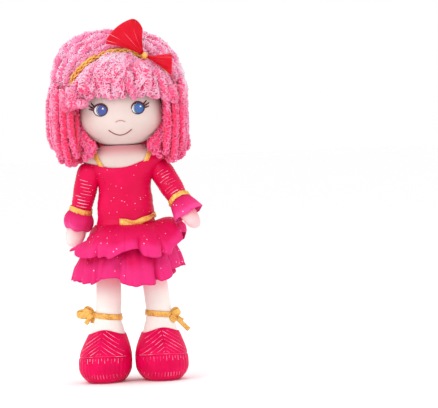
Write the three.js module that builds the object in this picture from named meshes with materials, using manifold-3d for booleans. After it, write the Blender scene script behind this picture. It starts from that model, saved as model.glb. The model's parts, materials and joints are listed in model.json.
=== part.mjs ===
// A stuffed rag doll dressed as a ballerina, standing on its soles and facing -Y.
// Millimetres, +Z up. +X is the doll's left side, so pieces of the right side have negative X.
// The origin is on the floor, under the middle of the body.
import * as THREE from "three";
import { mergeVertices } from "three/addons/utils/BufferGeometryUtils.js";
import Module from "manifold-3d";

const wasm = await Module();
wasm.setup();

// Sewing: fabric thicknesses and the clearance between pieces that lie against each other
const GAP = 0.3;
const SKIN_WALL = 1.0;
const DRESS_WALL = 1.3;
const SHOE_WALL = 1.6;
const RIBBON_WALL = 0.8;
const TULLE_WALL = 1.0;

// Legs and feet
const LEG_HEIGHT = 127;
const LEG_RADIUS = 12.5;
const HIP_RADIUS = 11.9;
const HIP_TAPER = 22;
const HIP_SPACING = 44;
const ANKLE_HEIGHT = 66;
const FOOT_WIDTH = 53;
const FOOT_LENGTH = 66;
const FOOT_FORWARD = 11;
const TOE_OUT = THREE.MathUtils.degToRad(11);
const RIGHT_SPLAY = 1.5;
const LEFT_SPLAY = 6;
const SHOE_HEIGHT = 52;
const SOLE_THICKNESS = 2.4;
const TOE_SEAM_HEIGHT = 27;
const TOE_SEAM_BACK = 8;
const ANKLE_RIBBON_WIDTH = 5.5;

// Torso and neck
const TORSO_HEIGHT = 93.75;
const TORSO_HALF_WIDTH = 26.5;
const TORSO_HALF_DEPTH = 20;
const CHEST_HALF_WIDTH = 24.3;
const CHEST_HALF_DEPTH = 18;
const NECK_HALF_WIDTH = 21.5;
const NECK_HALF_DEPTH = 16;
const SHOULDER_HALF_WIDTH = 40;
const SHOULDER_HALF_DEPTH = 14;
const SHOULDER_DOME = 14;
const UNDERARM_DROP = 14;

// Head
const HEAD_HALF_WIDTH = 42.5;
const HEAD_HALF_DEPTH = 36.5;
const CHIN_DROP = 30;
const JAW_FULLNESS = 2.15;
const CROWN_RISE = 58;
const NECK_OPENING = 12;

// Arms and sleeves
const ARM_LENGTH = 71;
const ARM_RADIUS = 10.3;
const WRIST_RADIUS = 8.4;
const HAND_HALF_WIDTH = 10;
const HAND_HALF_DEPTH = 6.8;
const HAND_LENGTH = 20;
const SHOULDER_DROP = 12.6;
const SEAM_DISC_RADIUS = 6.5;
const SLEEVE_LENGTH = 38;
const SLEEVE_BAND_WIDTH = 5;
const CUFF_LENGTH = 18;
const CUFF_FLARE = 3.8;
const RIGHT_LIFT = THREE.MathUtils.degToRad(15);
const RIGHT_SWING = THREE.MathUtils.degToRad(-8);
const LEFT_LIFT = THREE.MathUtils.degToRad(27);
const LEFT_SWING = THREE.MathUtils.degToRad(30);

// Dress
const BODICE_DROP = 8;
const NECKLINE_DEPTH = 6.3;
const NECKLINE_RADIUS = 73;
const STRAP_WIDTH = 5;
const STRAP_LEAN = THREE.MathUtils.degToRad(40);
const STRAP_OUT = 26.5;
const WAIST_HEIGHT = 22;
const SEAT_ROUNDING = 12;
const WAIST_RIBBON_WIDTH = 6;
const TUTU_FOLDS = 12;
const UPPER_TIER_LENGTH = 35;
const UPPER_TIER_REACH = 29;
const LOWER_TIER_START = 9;
const LOWER_TIER_LENGTH = 52;
const LOWER_TIER_REACH = 26.5;
const FOLD_DEPTH = 4.2;
const HAND_HOLLOW = 15.5;
const HOLLOW_WIDTH = 0.62;
const HAND_BEARING = THREE.MathUtils.degToRad(171);

// Hair, its band and its bow
const HAIR_HALF_WIDTH = 71;
const HAIR_HALF_DEPTH = 50;
const HAIR_TOP = 29;
const HAIR_LEAN = -4.5;
const HAIR_BACK = 6;
const LOCK_COUNT = 20;
const LOCK_RELIEF = 3;
const LOCK_START = 32;
const SIDE_LOCK_DROP = 43.1;
const BACK_LOCK_DROP = 50.1;
const FACE_OPENING = THREE.MathUtils.degToRad(56);
const FRINGE_FRONT = 12;
const FRINGE_SIDE = 22;
const BROW_MIDDLE = THREE.MathUtils.degToRad(15.5);
const BROW_TEMPLE = THREE.MathUtils.degToRad(8);
const BED_TOP = 8.5;
const BED_SIDE = 14;
const BAND_WIDTH = 5.5;
const BAND_FORWARD = 12;
const BOW_SIDE = 26;
const BOW_FORWARD = 21;
const BOW_LIFT = 3;
const BOW_THICKNESS = 7;
const RIGHT_WING_LENGTH = 34;
const RIGHT_WING_WIDTH = 35;
const RIGHT_WING_TURN = THREE.MathUtils.degToRad(125);
const LEFT_WING_LENGTH = 28;
const LEFT_WING_WIDTH = 22;
const LEFT_WING_TURN = THREE.MathUtils.degToRad(-16);
const KNOT_RADIUS = 5;
const KNOT_WAIST = 0.8;

// Facets
const BODY_SIDES = 18;
const LIMB_SIDES = 12;
const FOLD_STEPS = 6;
const LOCK_STEPS = 4;

// Levels that follow from the sizes above
const torsoBottom = LEG_HEIGHT + HIP_RADIUS + GAP / 2;
const neckTop = torsoBottom + TORSO_HEIGHT;
const headWidest = neckTop + GAP + CHIN_DROP;
const headTop = headWidest + CROWN_RISE;
const hairTop = headTop + HAIR_TOP;
const shoulderSlope = neckTop - SHOULDER_DOME;
const shoulderHeight = shoulderSlope - SHOULDER_DROP;
const sleeveRadius = ARM_RADIUS + GAP + DRESS_WALL;
const waist = torsoBottom + WAIST_HEIGHT;

// Finishes
function cloth(color, roughness, metalness = 0) {
  return new THREE.MeshStandardMaterial({ color, roughness, metalness });
}
const skinFabric = cloth(0xf3ddd3, 0.85);
const fibrefill = cloth(0xffffff, 1);
const yarn = cloth(0xf77fae, 1);
const dressFabric = cloth(0xe8185c, 0.55);
const tulle = cloth(0xf01e68, 0.6);
const goldRibbon = cloth(0xd9a441, 0.4, 0.6);
const bowRibbon = cloth(0xe81c3a, 0.35);
const shoeFabric = cloth(0xdf1457, 0.45);

// Closed surfaces

// Signed volume of an indexed geometry, which tells whether its faces point outwards.
function signedVolume(geometry) {
  const position = geometry.getAttribute("position");
  const corner = [0, 1, 2].map(() => new THREE.Vector3());
  let sum = 0;
  for (let i = 0; i < geometry.index.count; i += 3) {
    corner.forEach((c, k) => c.fromBufferAttribute(position, geometry.index.getX(i + k)));
    sum += corner[0].dot(corner[1].clone().cross(corner[2])) / 6;
  }
  return sum;
}

// A geometry of these points and triangles, with its faces turned outwards.
function closedSurface(points, index) {
  const geometry = new THREE.BufferGeometry().setFromPoints(points);
  geometry.setIndex(index);
  if (signedVolume(geometry) < 0) {
    geometry.setIndex(index.reverse());
  }
  return geometry;
}

function centreOf(points) {
  const sum = points.reduce((total, p) => total.add(p), new THREE.Vector3());
  return sum.divideScalar(points.length);
}

// A skin over rings of points. Its two ends close on their poles, or the last ring joins the first.
function loft(rings, { loop = false, start = null, end = null } = {}) {
  const sides = rings[0].length;
  const points = rings.flat();
  const index = [];
  const spans = loop ? rings.length : rings.length - 1;
  for (let i = 0; i < spans; i++) {
    const near = i * sides;
    const far = ((i + 1) % rings.length) * sides;
    for (let j = 0; j < sides; j++) {
      const k = (j + 1) % sides;
      index.push(near + j, far + j, far + k, near + j, far + k, near + k);
    }
  }
  if (!loop) {
    const first = points.push(start ?? centreOf(rings[0])) - 1;
    const last = points.push(end ?? centreOf(rings[rings.length - 1])) - 1;
    const base = (rings.length - 1) * sides;
    for (let j = 0; j < sides; j++) {
      const k = (j + 1) % sides;
      index.push(j, k, first, base + k, base + j, last);
    }
  }
  return closedSurface(points, index);
}

// A thick sheet between an outer and an inner face, each given at its columns and rows.
function slab(columns, rows, outer, inner) {
  const faces = [outer, inner].map((face) =>
    Array.from({ length: columns + 1 }, (_, u) =>
      Array.from({ length: rows + 1 }, (_, v) => face(u / columns, v / rows)),
    ),
  );
  const section = (u) => [...faces[0][u], ...faces[1][u].toReversed()];
  const rings = Array.from({ length: columns + 1 }, (_, u) => section(u));
  return loft(rings);
}

// One ring of an upright piece: an ellipse whose reach may vary with the angle.
function ring({ x = 0, y = 0, z, width, depth }, sides, wave = () => 0) {
  return Array.from({ length: sides }, (_, j) => {
    const angle = (2 * Math.PI * j) / sides;
    const across = (width + wave(angle)) * Math.cos(angle);
    const along = (depth + wave(angle)) * Math.sin(angle);
    return new THREE.Vector3(x + across, y + along, z);
  });
}

// Stations of a stuffed form give its width and depth at each level. These read and change them.
function inset(stations, amount) {
  return stations.map((s) => ({ ...s, width: s.width - amount, depth: s.depth - amount }));
}

function stationAt(stations, z) {
  const i = Math.max(1, stations.findIndex((s) => s.z >= z));
  const low = stations[i - 1];
  const high = stations[i];
  const share = (z - low.z) / (high.z - low.z);
  const mix = (key) => THREE.MathUtils.lerp(low[key] ?? 0, high[key] ?? 0, share);
  return { x: mix("x"), y: mix("y"), z, width: mix("width"), depth: mix("depth") };
}

// The stations between two levels, cut at exactly those levels.
function between(stations, bottom, top) {
  const inside = stations.filter((s) => s.z > bottom + GAP && s.z < top - GAP);
  return [stationAt(stations, bottom), ...inside, stationAt(stations, top)];
}

function form(stations, sides, poles = {}) {
  return loft(stations.map((s) => ring(s, sides)), poles);
}

// A station of circular section.
function round(z, radius) {
  return { z, width: radius, depth: radius };
}

// A ribbon or band round a form, between two levels.
function bandRound(stations, sides, bottom, top, stand, thickness) {
  const part = between(stations, bottom, top);
  const outside = inset(part, -stand - thickness).map((s) => ring(s, sides));
  const inside = inset(part, -stand).map((s) => ring(s, sides));
  return loft([...outside, ...inside.toReversed()], { loop: true });
}

// Booleans

function solid(geometry) {
  const bare = new THREE.BufferGeometry().setAttribute("position", geometry.getAttribute("position"));
  bare.setIndex(geometry.index);
  const merged = mergeVertices(bare, 1e-4);
  const corners = merged.index.array;
  const kept = [];
  for (let i = 0; i < corners.length; i += 3) {
    const [a, b, c] = corners.subarray(i, i + 3);
    if (a !== b && b !== c && c !== a) {
      kept.push(a, b, c);
    }
  }
  const triVerts = new Uint32Array(kept);
  const vertProperties = merged.getAttribute("position").array;
  return new wasm.Manifold(new wasm.Mesh({ numProp: 3, vertProperties, triVerts }));
}

function geometryOf(made) {
  const mesh = made.getMesh();
  const points = new THREE.BufferAttribute(new Float32Array(mesh.vertProperties), 3);
  const geometry = new THREE.BufferGeometry().setAttribute("position", points);
  return geometry.setIndex(new THREE.BufferAttribute(new Uint32Array(mesh.triVerts), 1));
}

// A box between two corners, used to clip.
function block(low, high) {
  const size = high.map((h, i) => h - low[i]);
  const middle = high.map((h, i) => (h + low[i]) / 2);
  return new THREE.BoxGeometry(...size).translate(...middle);
}

const FAR = 400;
const above = (z) => solid(block([-FAR, -FAR, z], [FAR, FAR, z + FAR]));
const inFrontOf = (y) => solid(block([-FAR, y - FAR, -FAR], [FAR, y, FAR]));
const behind = (y) => solid(block([-FAR, y, -FAR], [FAR, y + FAR, FAR]));

// Scene graph

const doll = new THREE.Group();
const torsoGroup = new THREE.Group();
const headGroup = new THREE.Group();
doll.add(torsoGroup, headGroup);

function piece(group, name, geometry, material) {
  geometry.computeVertexNormals();
  const mesh = new THREE.Mesh(geometry, material);
  mesh.name = name;
  group.add(mesh);
}

// Torso: a fabric tube with sloping shoulders, closed below, open to the head at the neck

const torsoStations = [
  { z: torsoBottom, width: TORSO_HALF_WIDTH * 0.8, depth: TORSO_HALF_DEPTH * 0.7 },
  { z: torsoBottom + 3, width: TORSO_HALF_WIDTH * 0.95, depth: TORSO_HALF_DEPTH * 0.92 },
  { z: torsoBottom + SEAT_ROUNDING, width: TORSO_HALF_WIDTH, depth: TORSO_HALF_DEPTH },
  { z: waist + SEAT_ROUNDING, width: TORSO_HALF_WIDTH, depth: TORSO_HALF_DEPTH },
  { z: shoulderHeight - UNDERARM_DROP, width: CHEST_HALF_WIDTH, depth: CHEST_HALF_DEPTH },
  { z: shoulderHeight + 10, width: CHEST_HALF_WIDTH, depth: CHEST_HALF_DEPTH },
  { z: shoulderSlope + 4, width: CHEST_HALF_WIDTH - 0.5, depth: CHEST_HALF_DEPTH - 0.5 },
  { z: neckTop, width: NECK_HALF_WIDTH, depth: NECK_HALF_DEPTH },
  { z: neckTop + CHIN_DROP / 2, width: NECK_HALF_WIDTH, depth: NECK_HALF_DEPTH },
];

// The head's own shape, grown all round, or by another amount at the sides.
function headForm(grow, side = grow) {
  const rows = 10;
  const rings = [];
  for (let i = 1; i < rows; i++) {
    const angle = (Math.PI * i) / rows;
    const jaw = i < rows / 2;
    const power = jaw ? 2 / JAW_FULLNESS : 1;
    const flat = Math.sin(angle) ** power;
    const lift = Math.abs(Math.cos(angle)) ** power;
    const z = headWidest + (jaw ? -lift * (CHIN_DROP + grow) : lift * (CROWN_RISE + grow));
    const width = (HEAD_HALF_WIDTH + side) * flat;
    const depth = (HEAD_HALF_DEPTH + grow) * flat;
    rings.push(ring({ z, width, depth }, BODY_SIDES));
  }
  const start = new THREE.Vector3(0, 0, headWidest - CHIN_DROP - grow);
  const end = new THREE.Vector3(0, 0, headTop + grow);
  return solid(loft(rings, { start, end }));
}

// Both shoulders as one low dome with a flat underside, which clears the raised arms.
function shoulders(grow) {
  const dome = new THREE.SphereGeometry(1, BODY_SIDES, 8).rotateX(Math.PI / 2);
  dome.scale(SHOULDER_HALF_WIDTH + grow, SHOULDER_HALF_DEPTH + grow, SHOULDER_DOME + grow);
  dome.translate(0, 0, shoulderSlope);
  return solid(dome).intersect(above(shoulderSlope - grow));
}

function torsoForm(grow) {
  return solid(form(inset(torsoStations, -grow), BODY_SIDES)).add(shoulders(grow));
}

const neckCut = headForm(2 * GAP);
const torsoFloor = above(torsoBottom + SKIN_WALL);
const stuffingFloor = above(torsoBottom + SKIN_WALL + GAP);
const torsoSkin = torsoForm(0).subtract(torsoForm(-SKIN_WALL).intersect(torsoFloor)).subtract(neckCut);
const torsoFill = torsoForm(-SKIN_WALL - GAP).intersect(stuffingFloor).subtract(neckCut);
piece(torsoGroup, "torso_skin", geometryOf(torsoSkin), skinFabric);
piece(torsoGroup, "torso_stuffing", geometryOf(torsoFill), fibrefill);

// Bodice: a stretch shell round the torso with a scooped neckline and two armholes

const bodiceBottom = waist - BODICE_DROP;
const bodiceTop = shoulderSlope - GAP;
const necklineLow = shoulderSlope - NECKLINE_DEPTH;
const bodiceStations = between(torsoStations, bodiceBottom, bodiceTop);
const bodiceStand = GAP + DRESS_WALL;

// The neckline's scoop, a wide cylinder lying front to back over the chest.
function scoop(grow) {
  const roll = new THREE.CylinderGeometry(NECKLINE_RADIUS + grow, NECKLINE_RADIUS + grow, FAR, 48);
  return solid(roll.translate(0, 0, necklineLow + NECKLINE_RADIUS));
}

function armhole() {
  const bore = new THREE.CylinderGeometry(SEAM_DISC_RADIUS + GAP, SEAM_DISC_RADIUS + GAP, FAR, 16);
  return solid(bore.rotateZ(Math.PI / 2).translate(0, 0, shoulderHeight));
}

const bodiceTube = bandRound(bodiceStations, BODY_SIDES, bodiceBottom, bodiceTop, GAP, DRESS_WALL);
const bodice = solid(bodiceTube).subtract(scoop(0)).subtract(armhole());
piece(torsoGroup, "bodice", geometryOf(bodice), dressFabric);

// Straps: two gold ribbons from the neckline over the shoulders to the back

const strapLayer = torsoForm(GAP + RIBBON_WALL).subtract(torsoForm(GAP)).subtract(headForm(3 * GAP));
for (const [side, name] of [[-1, "strap_right"], [1, "strap_left"]]) {
  const reach = SHOULDER_DOME + SHOULDER_DROP;
  const blade = new THREE.BoxGeometry(STRAP_WIDTH, FAR, reach).translate(0, 0, reach / 2);
  blade.rotateY(side * STRAP_LEAN);
  const foot = (neckTop - necklineLow) * Math.tan(STRAP_LEAN);
  blade.translate(side * (STRAP_OUT - foot / 2), 0, necklineLow);
  const strap = solid(blade).intersect(strapLayer).intersect(scoop(-GAP));
  piece(torsoGroup, name, geometryOf(strap), goldRibbon);
}

// Tutu: two gathered tiers of tulle sewn on at the waist, and the gold ribbon over their seam

// A tier's main folds, pressed in where the right arm hangs against them.
function tier({ top, length, reach, phase, spread, hollow }) {
  const rows = 3;
  const columns = TUTU_FOLDS * FOLD_STEPS;
  const waistAt = stationAt(torsoStations, top);
  const level = (share, stand) => {
    const drop = length * (0.35 * share + 0.65 * share ** 2);
    const { smoothstep } = THREE.MathUtils;
    const depth = hollow * smoothstep(share, 0, 0.3);
    const wave = (angle) => {
      const press = Math.exp(-(((angle - HAND_BEARING) / HOLLOW_WIDTH) ** 4));
      const fold = FOLD_DEPTH * share * (1 - 0.8 * press) * Math.cos(TUTU_FOLDS * angle + phase);
      return bodiceStand + GAP + stand + Math.max(0, reach * spread(share) + fold - depth * press);
    };
    return ring({ ...waistAt, z: top - drop }, columns, wave);
  };
  const shares = Array.from({ length: rows + 1 }, (_, i) => i / rows);
  const outside = shares.map((share) => level(share, TULLE_WALL));
  const inside = shares.map((share) => level(share, 0));
  return loft([...outside, ...inside.toReversed()], { loop: true });
}

const upperTier = tier({
  top: waist,
  length: UPPER_TIER_LENGTH,
  reach: UPPER_TIER_REACH,
  phase: 0,
  spread: (share) => Math.sin((share * Math.PI) / 2) ** 0.8,
  hollow: HAND_HOLLOW,
});
const lowerTier = tier({
  top: waist - LOWER_TIER_START,
  length: LOWER_TIER_LENGTH,
  reach: LOWER_TIER_REACH,
  phase: Math.PI,
  spread: (share) => share ** 0.9,
  hollow: HAND_HOLLOW / 2,
});
piece(torsoGroup, "tutu_upper_tier", upperTier, tulle);
piece(torsoGroup, "tutu_lower_tier", lowerTier, tulle);

const waistRibbon = bandRound(
  torsoStations,
  BODY_SIDES,
  waist + GAP,
  waist + GAP + WAIST_RIBBON_WIDTH,
  bodiceStand + GAP,
  RIBBON_WALL,
);
piece(torsoGroup, "waist_ribbon", waistRibbon, goldRibbon);

// Head: a stuffed fabric ball, wide at the cheeks, open at the neck seam

const neckHole = solid(
  new THREE.CylinderGeometry(NECK_OPENING, NECK_OPENING, CHIN_DROP, 16)
    .rotateX(Math.PI / 2)
    .translate(0, 0, neckTop),
);
const headSkin = headForm(0).subtract(headForm(-SKIN_WALL)).subtract(neckHole);
piece(headGroup, "head_skin", geometryOf(headSkin), skinFabric);
piece(headGroup, "head_stuffing", geometryOf(headForm(-SKIN_WALL - GAP)), fibrefill);

// Hair: yarn in a full crown behind the band, a fringe before it, and hanging locks all round

const HAIR_FULLNESS = 2.7;
const lockTop = headWidest + LOCK_START;

function hairReach(z) {
  const rise = Math.max(0, (z - headWidest) / (hairTop - headWidest));
  return (1 - rise ** HAIR_FULLNESS) ** (1 / HAIR_FULLNESS);
}

// A point of the hair's outside. Angle 0 is the face, and positive angles go round by the left side.
function hairPoint(angle, z, stand = 0) {
  const relief = LOCK_RELIEF * Math.abs(Math.cos((angle * LOCK_COUNT) / 2)) - LOCK_RELIEF;
  const share = hairReach(z);
  const width = HAIR_HALF_WIDTH * share + relief + stand;
  const depth = HAIR_HALF_DEPTH * share + relief + stand;
  return new THREE.Vector3(HAIR_LEAN + width * Math.sin(angle), HAIR_BACK - depth * Math.cos(angle), z);
}

function crown() {
  const columns = LOCK_COUNT * LOCK_STEPS;
  const levels = [0, 0.25, 0.5, 0.7, 0.85, 0.95].map((s) => THREE.MathUtils.lerp(lockTop, hairTop, s));
  const rings = levels.map((z) =>
    Array.from({ length: columns }, (_, j) => hairPoint((2 * Math.PI * j) / columns, z)),
  );
  const mass = solid(loft(rings, { end: new THREE.Vector3(HAIR_LEAN, HAIR_BACK, hairTop) }));
  const half = HEAD_HALF_WIDTH + 0.6 * FRINGE_SIDE;
  const frontRoom = solid(block([-half, -FAR, 0], [half, -BAND_FORWARD + BAND_WIDTH, FAR]));
  const bed = headForm(BED_TOP, BED_SIDE).intersect(inFrontOf(0)).intersect(behind(-bandFront));
  return mass.subtract(frontRoom).add(bed).intersect(above(lockTop + GAP));
}

const bandFront = BAND_FORWARD + BAND_WIDTH / 2;
const hairCrown = crown().subtract(headForm(GAP));
piece(headGroup, "hair_crown", geometryOf(hairCrown), yarn);

// A patch of the head's own shape, thickened. Turn goes round from the face, tilt rises from the cheeks.
function onHead(turn, tilt, grow, side = grow) {
  const flat = Math.cos(tilt);
  return new THREE.Vector3(
    (HEAD_HALF_WIDTH + side) * flat * Math.sin(turn),
    -(HEAD_HALF_DEPTH + grow) * flat * Math.cos(turn),
    headWidest + (CROWN_RISE + grow) * Math.sin(tilt),
  );
}

// The fringe in its rounded curls, from the brow up to the band, full at the temples.
function fringe(clear) {
  const wide = THREE.MathUtils.degToRad(84);
  const top = THREE.MathUtils.degToRad(76);
  const curls = 11;
  const hollow = (u) => 1 - Math.abs(Math.sin(u * curls * Math.PI));
  const place = (u, v) => {
    const turn = THREE.MathUtils.lerp(-wide, wide, u);
    const temple = THREE.MathUtils.smoothstep(Math.abs(turn), 0.6, 1.15);
    const brow = THREE.MathUtils.lerp(BROW_MIDDLE, BROW_TEMPLE, temple) + 0.05 * hollow(u);
    return [turn, THREE.MathUtils.lerp(brow - clear / CROWN_RISE, top, v)];
  };
  const outer = (u, v) => {
    const full = 0.75 + 0.25 * Math.sin(Math.PI * (0.2 + 0.8 * v));
    const share = full * (1 - 0.15 * hollow(u));
    return onHead(...place(u, v), FRINGE_FRONT * share + clear, FRINGE_SIDE * share + clear);
  };
  const inner = (u, v) => onHead(...place(u, v), -SKIN_WALL);
  return solid(slab(curls * LOCK_STEPS, 6, outer, inner));
}

const hairFringe = fringe(0).intersect(inFrontOf(-bandFront - GAP)).subtract(headForm(GAP));
piece(headGroup, "hair_fringe", geometryOf(hairFringe), yarn);

// A curtain of locks between two angles. Each lock ends in its own rounded tip.
function locks(from, to) {
  const columns = Math.round(((to - from) / (2 * Math.PI)) * LOCK_COUNT * LOCK_STEPS);
  const tip = (angle) => {
    const behindHead = THREE.MathUtils.smoothstep(-Math.cos(angle), 0.55, 0.85);
    const middle = Math.abs(Math.cos((angle * LOCK_COUNT) / 2));
    const drop = THREE.MathUtils.lerp(SIDE_LOCK_DROP, BACK_LOCK_DROP, behindHead);
    return headWidest - drop + 7 * (1 - middle);
  };
  const at = (u, v, face) => {
    const angle = THREE.MathUtils.lerp(from, to, u);
    const z = THREE.MathUtils.lerp(lockTop, tip(angle), v);
    const drawnIn = v > 0.6 ? 10 * ((v - 0.6) / 0.4) ** 2 : 0;
    return face(angle, z, drawnIn);
  };
  const outer = (u, v) => at(u, v, (angle, z, drawnIn) => hairPoint(angle, z, -drawnIn));
  const inner = (u, v) =>
    at(u, v, (angle, z) => {
      const width = Math.max(HEAD_HALF_WIDTH, SHOULDER_HALF_WIDTH) + 2;
      const depth = HEAD_HALF_DEPTH - 2;
      return new THREE.Vector3(width * Math.sin(angle), -depth * Math.cos(angle), z);
    });
  return solid(slab(columns, 5, outer, inner)).subtract(headForm(GAP)).subtract(fringe(GAP));
}

const lockStep = (2 * Math.PI) / LOCK_COUNT;
const sideEnd = Math.PI - 4.5 * lockStep;
const partGap = GAP / HEAD_HALF_DEPTH;
const lockNodes = {
  hair_locks_left: [FACE_OPENING, sideEnd - partGap],
  hair_locks_back: [sideEnd, 2 * Math.PI - sideEnd],
  hair_locks_right: [2 * Math.PI - sideEnd + partGap, 2 * Math.PI - FACE_OPENING],
};
for (const [name, [from, to]] of Object.entries(lockNodes)) {
  piece(headGroup, name, geometryOf(locks(from, to)), yarn);
}

// Headband: gold braid laid over the hair between the fringe and the crown

const bandStand = BED_TOP + GAP;
const bandSide = BED_SIDE + GAP;
const bandBack = BAND_FORWARD - BAND_WIDTH / 2;
const headband = headForm(bandStand + RIBBON_WALL, bandSide + RIBBON_WALL)
  .subtract(headForm(bandStand, bandSide))
  .intersect(behind(-bandFront))
  .intersect(inFrontOf(-bandBack - GAP))
  .intersect(above(lockTop + GAP));
piece(headGroup, "headband", geometryOf(headband), goldRibbon);

// Bow: two pleated wings and a knot, tied on the band left of the crown's middle

const bowAcross = BOW_SIDE / (HEAD_HALF_WIDTH + bandSide);
const bowAlong = BAND_FORWARD / (HEAD_HALF_DEPTH + bandStand);
const bandRise = (CROWN_RISE + bandStand) * Math.sqrt(1 - bowAcross ** 2 - bowAlong ** 2);
const bowHeight = headWidest + bandRise + BOW_LIFT;
const bandClear = RIBBON_WALL + GAP;
const bowClear = headForm(bandStand + bandClear, bandSide + bandClear).add(fringe(GAP));

function wing(length, width, turn) {
  const pleats = 5;
  const columns = pleats * 4;
  const root = GAP + KNOT_RADIUS * Math.hypot(KNOT_WAIST * Math.cos(turn), Math.sin(turn));
  const shares = [0, 0.35, 0.7, 1];
  const rings = shares.map((share) => {
    const half = THREE.MathUtils.lerp(KNOT_RADIUS * 0.8, width / 2, share ** 0.8);
    return Array.from({ length: columns }, (_, j) => {
      const angle = (2 * Math.PI * j) / columns;
      const pleat = 1 + 0.22 * share * Math.cos(pleats * 2 * angle);
      const thin = (BOW_THICKNESS / 2) * (0.75 + 0.6 * share * (1 - share)) * pleat;
      const along = root + length * share - 3 * share * Math.abs(Math.cos(angle)) ** 3;
      return new THREE.Vector3(along, thin * Math.sin(angle), half * Math.cos(angle));
    });
  });
  const geometry = loft(rings).rotateY(-turn).translate(BOW_SIDE, -BOW_FORWARD, bowHeight);
  return solid(geometry).subtract(bowClear);
}

const rightWing = wing(RIGHT_WING_LENGTH, RIGHT_WING_WIDTH, RIGHT_WING_TURN);
const leftWing = wing(LEFT_WING_LENGTH, LEFT_WING_WIDTH, LEFT_WING_TURN);
const knotBall = new THREE.SphereGeometry(KNOT_RADIUS, 12, 8).scale(KNOT_WAIST, 1.1, 1);
const knot = solid(knotBall.translate(BOW_SIDE, -BOW_FORWARD + 2, bowHeight)).subtract(bowClear);
piece(headGroup, "bow_wing_right", geometryOf(rightWing), bowRibbon);
piece(headGroup, "bow_wing_left", geometryOf(leftWing), bowRibbon);
piece(headGroup, "bow_knot", geometryOf(knot), goldRibbon);

// Arms: each hangs from the middle of its round top. In its own frame it points down from the pivot.

const ballLevels = [0.97, 0.85, 0.6, 0.3];
const armStations = [
  { z: -ARM_LENGTH + 1.2, width: HAND_HALF_WIDTH * 0.42, depth: HAND_HALF_DEPTH * 0.45 },
  { z: -ARM_LENGTH + HAND_LENGTH / 4, width: HAND_HALF_WIDTH * 0.72, depth: HAND_HALF_DEPTH * 0.84 },
  { z: -ARM_LENGTH + HAND_LENGTH * 0.6, width: HAND_HALF_WIDTH * 0.92, depth: HAND_HALF_DEPTH },
  { z: -ARM_LENGTH + HAND_LENGTH, width: WRIST_RADIUS, depth: WRIST_RADIUS * 0.9 },
  { z: -SLEEVE_LENGTH - 4, width: WRIST_RADIUS, depth: WRIST_RADIUS },
  { z: -SLEEVE_LENGTH / 2, width: ARM_RADIUS * 0.97, depth: ARM_RADIUS * 0.97 },
  { z: 0, width: ARM_RADIUS, depth: ARM_RADIUS },
  ...ballLevels.toReversed().map((s) => round(ARM_RADIUS * s, ARM_RADIUS * Math.sqrt(1 - s ** 2))),
];

// A limb's skin: the outer face, then the inner face back again, open where it is sewn on.
function limbSkin(stations, sides, tip) {
  const outerFace = stations.map((s) => ring(s, sides));
  const innerFace = inset(stations, SKIN_WALL).map((s) => ring(s, sides));
  const poles = { start: tip, end: tip.clone().setZ(tip.z + SKIN_WALL) };
  return loft([...outerFace, ...innerFace.toReversed()], poles);
}

function limbStuffing(stations, sides, tip) {
  const inside = inset(stations, SKIN_WALL + GAP).map((s) => ring(s, sides));
  return loft(inside.toReversed(), { end: tip.clone().setZ(tip.z + SKIN_WALL + GAP) });
}

function cuff() {
  const folds = 8;
  const columns = folds * FOLD_STEPS;
  const top = -SLEEVE_LENGTH - GAP;
  const base = stationAt(armStations, top);
  const level = (share, stand) =>
    ring({ ...base, z: top - CUFF_LENGTH * share }, columns, (angle) => {
      const fold = 1.6 * share * Math.cos(folds * angle);
      return GAP + 1 + CUFF_FLARE * share ** 0.8 + fold + stand;
    });
  const shares = [0, 0.5, 1];
  const outside = shares.map((share) => level(share, TULLE_WALL));
  const inside = shares.map((share) => level(share, 0));
  return loft([...outside, ...inside.toReversed()], { loop: true });
}

// The sleeve's head is a ball round the pivot, so that it turns without meeting the bodice.
function sleeve() {
  const covered = armStations.filter((s) => s.z > -SLEEVE_LENGTH + GAP);
  const length = [stationAt(armStations, -SLEEVE_LENGTH), ...covered];
  const lift = (stations, grow) =>
    stations.map((s) => ({
      ...s,
      z: s.z > 0 ? (s.z * (ARM_RADIUS + grow)) / ARM_RADIUS : s.z,
      width: s.z > 0 ? (s.width * (ARM_RADIUS + grow)) / ARM_RADIUS : s.width + grow,
      depth: s.z > 0 ? (s.depth * (ARM_RADIUS + grow)) / ARM_RADIUS : s.depth + grow,
    }));
  const outside = lift(length, GAP + DRESS_WALL).map((s) => ring(s, LIMB_SIDES));
  const inside = lift(length, GAP).map((s) => ring(s, LIMB_SIDES));
  const start = new THREE.Vector3(0, 0, sleeveRadius);
  const end = new THREE.Vector3(0, 0, ARM_RADIUS + GAP);
  return loft([...outside.toReversed(), ...inside], { start, end });
}

const shoulderOut = CHEST_HALF_WIDTH + bodiceStand + GAP + sleeveRadius;
const handTip = new THREE.Vector3(0, 0, -ARM_LENGTH);
const sleeveBand = () =>
  bandRound(
    armStations,
    LIMB_SIDES,
    -SLEEVE_LENGTH,
    -SLEEVE_LENGTH + SLEEVE_BAND_WIDTH,
    2 * GAP + DRESS_WALL,
    RIBBON_WALL,
  );

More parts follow.
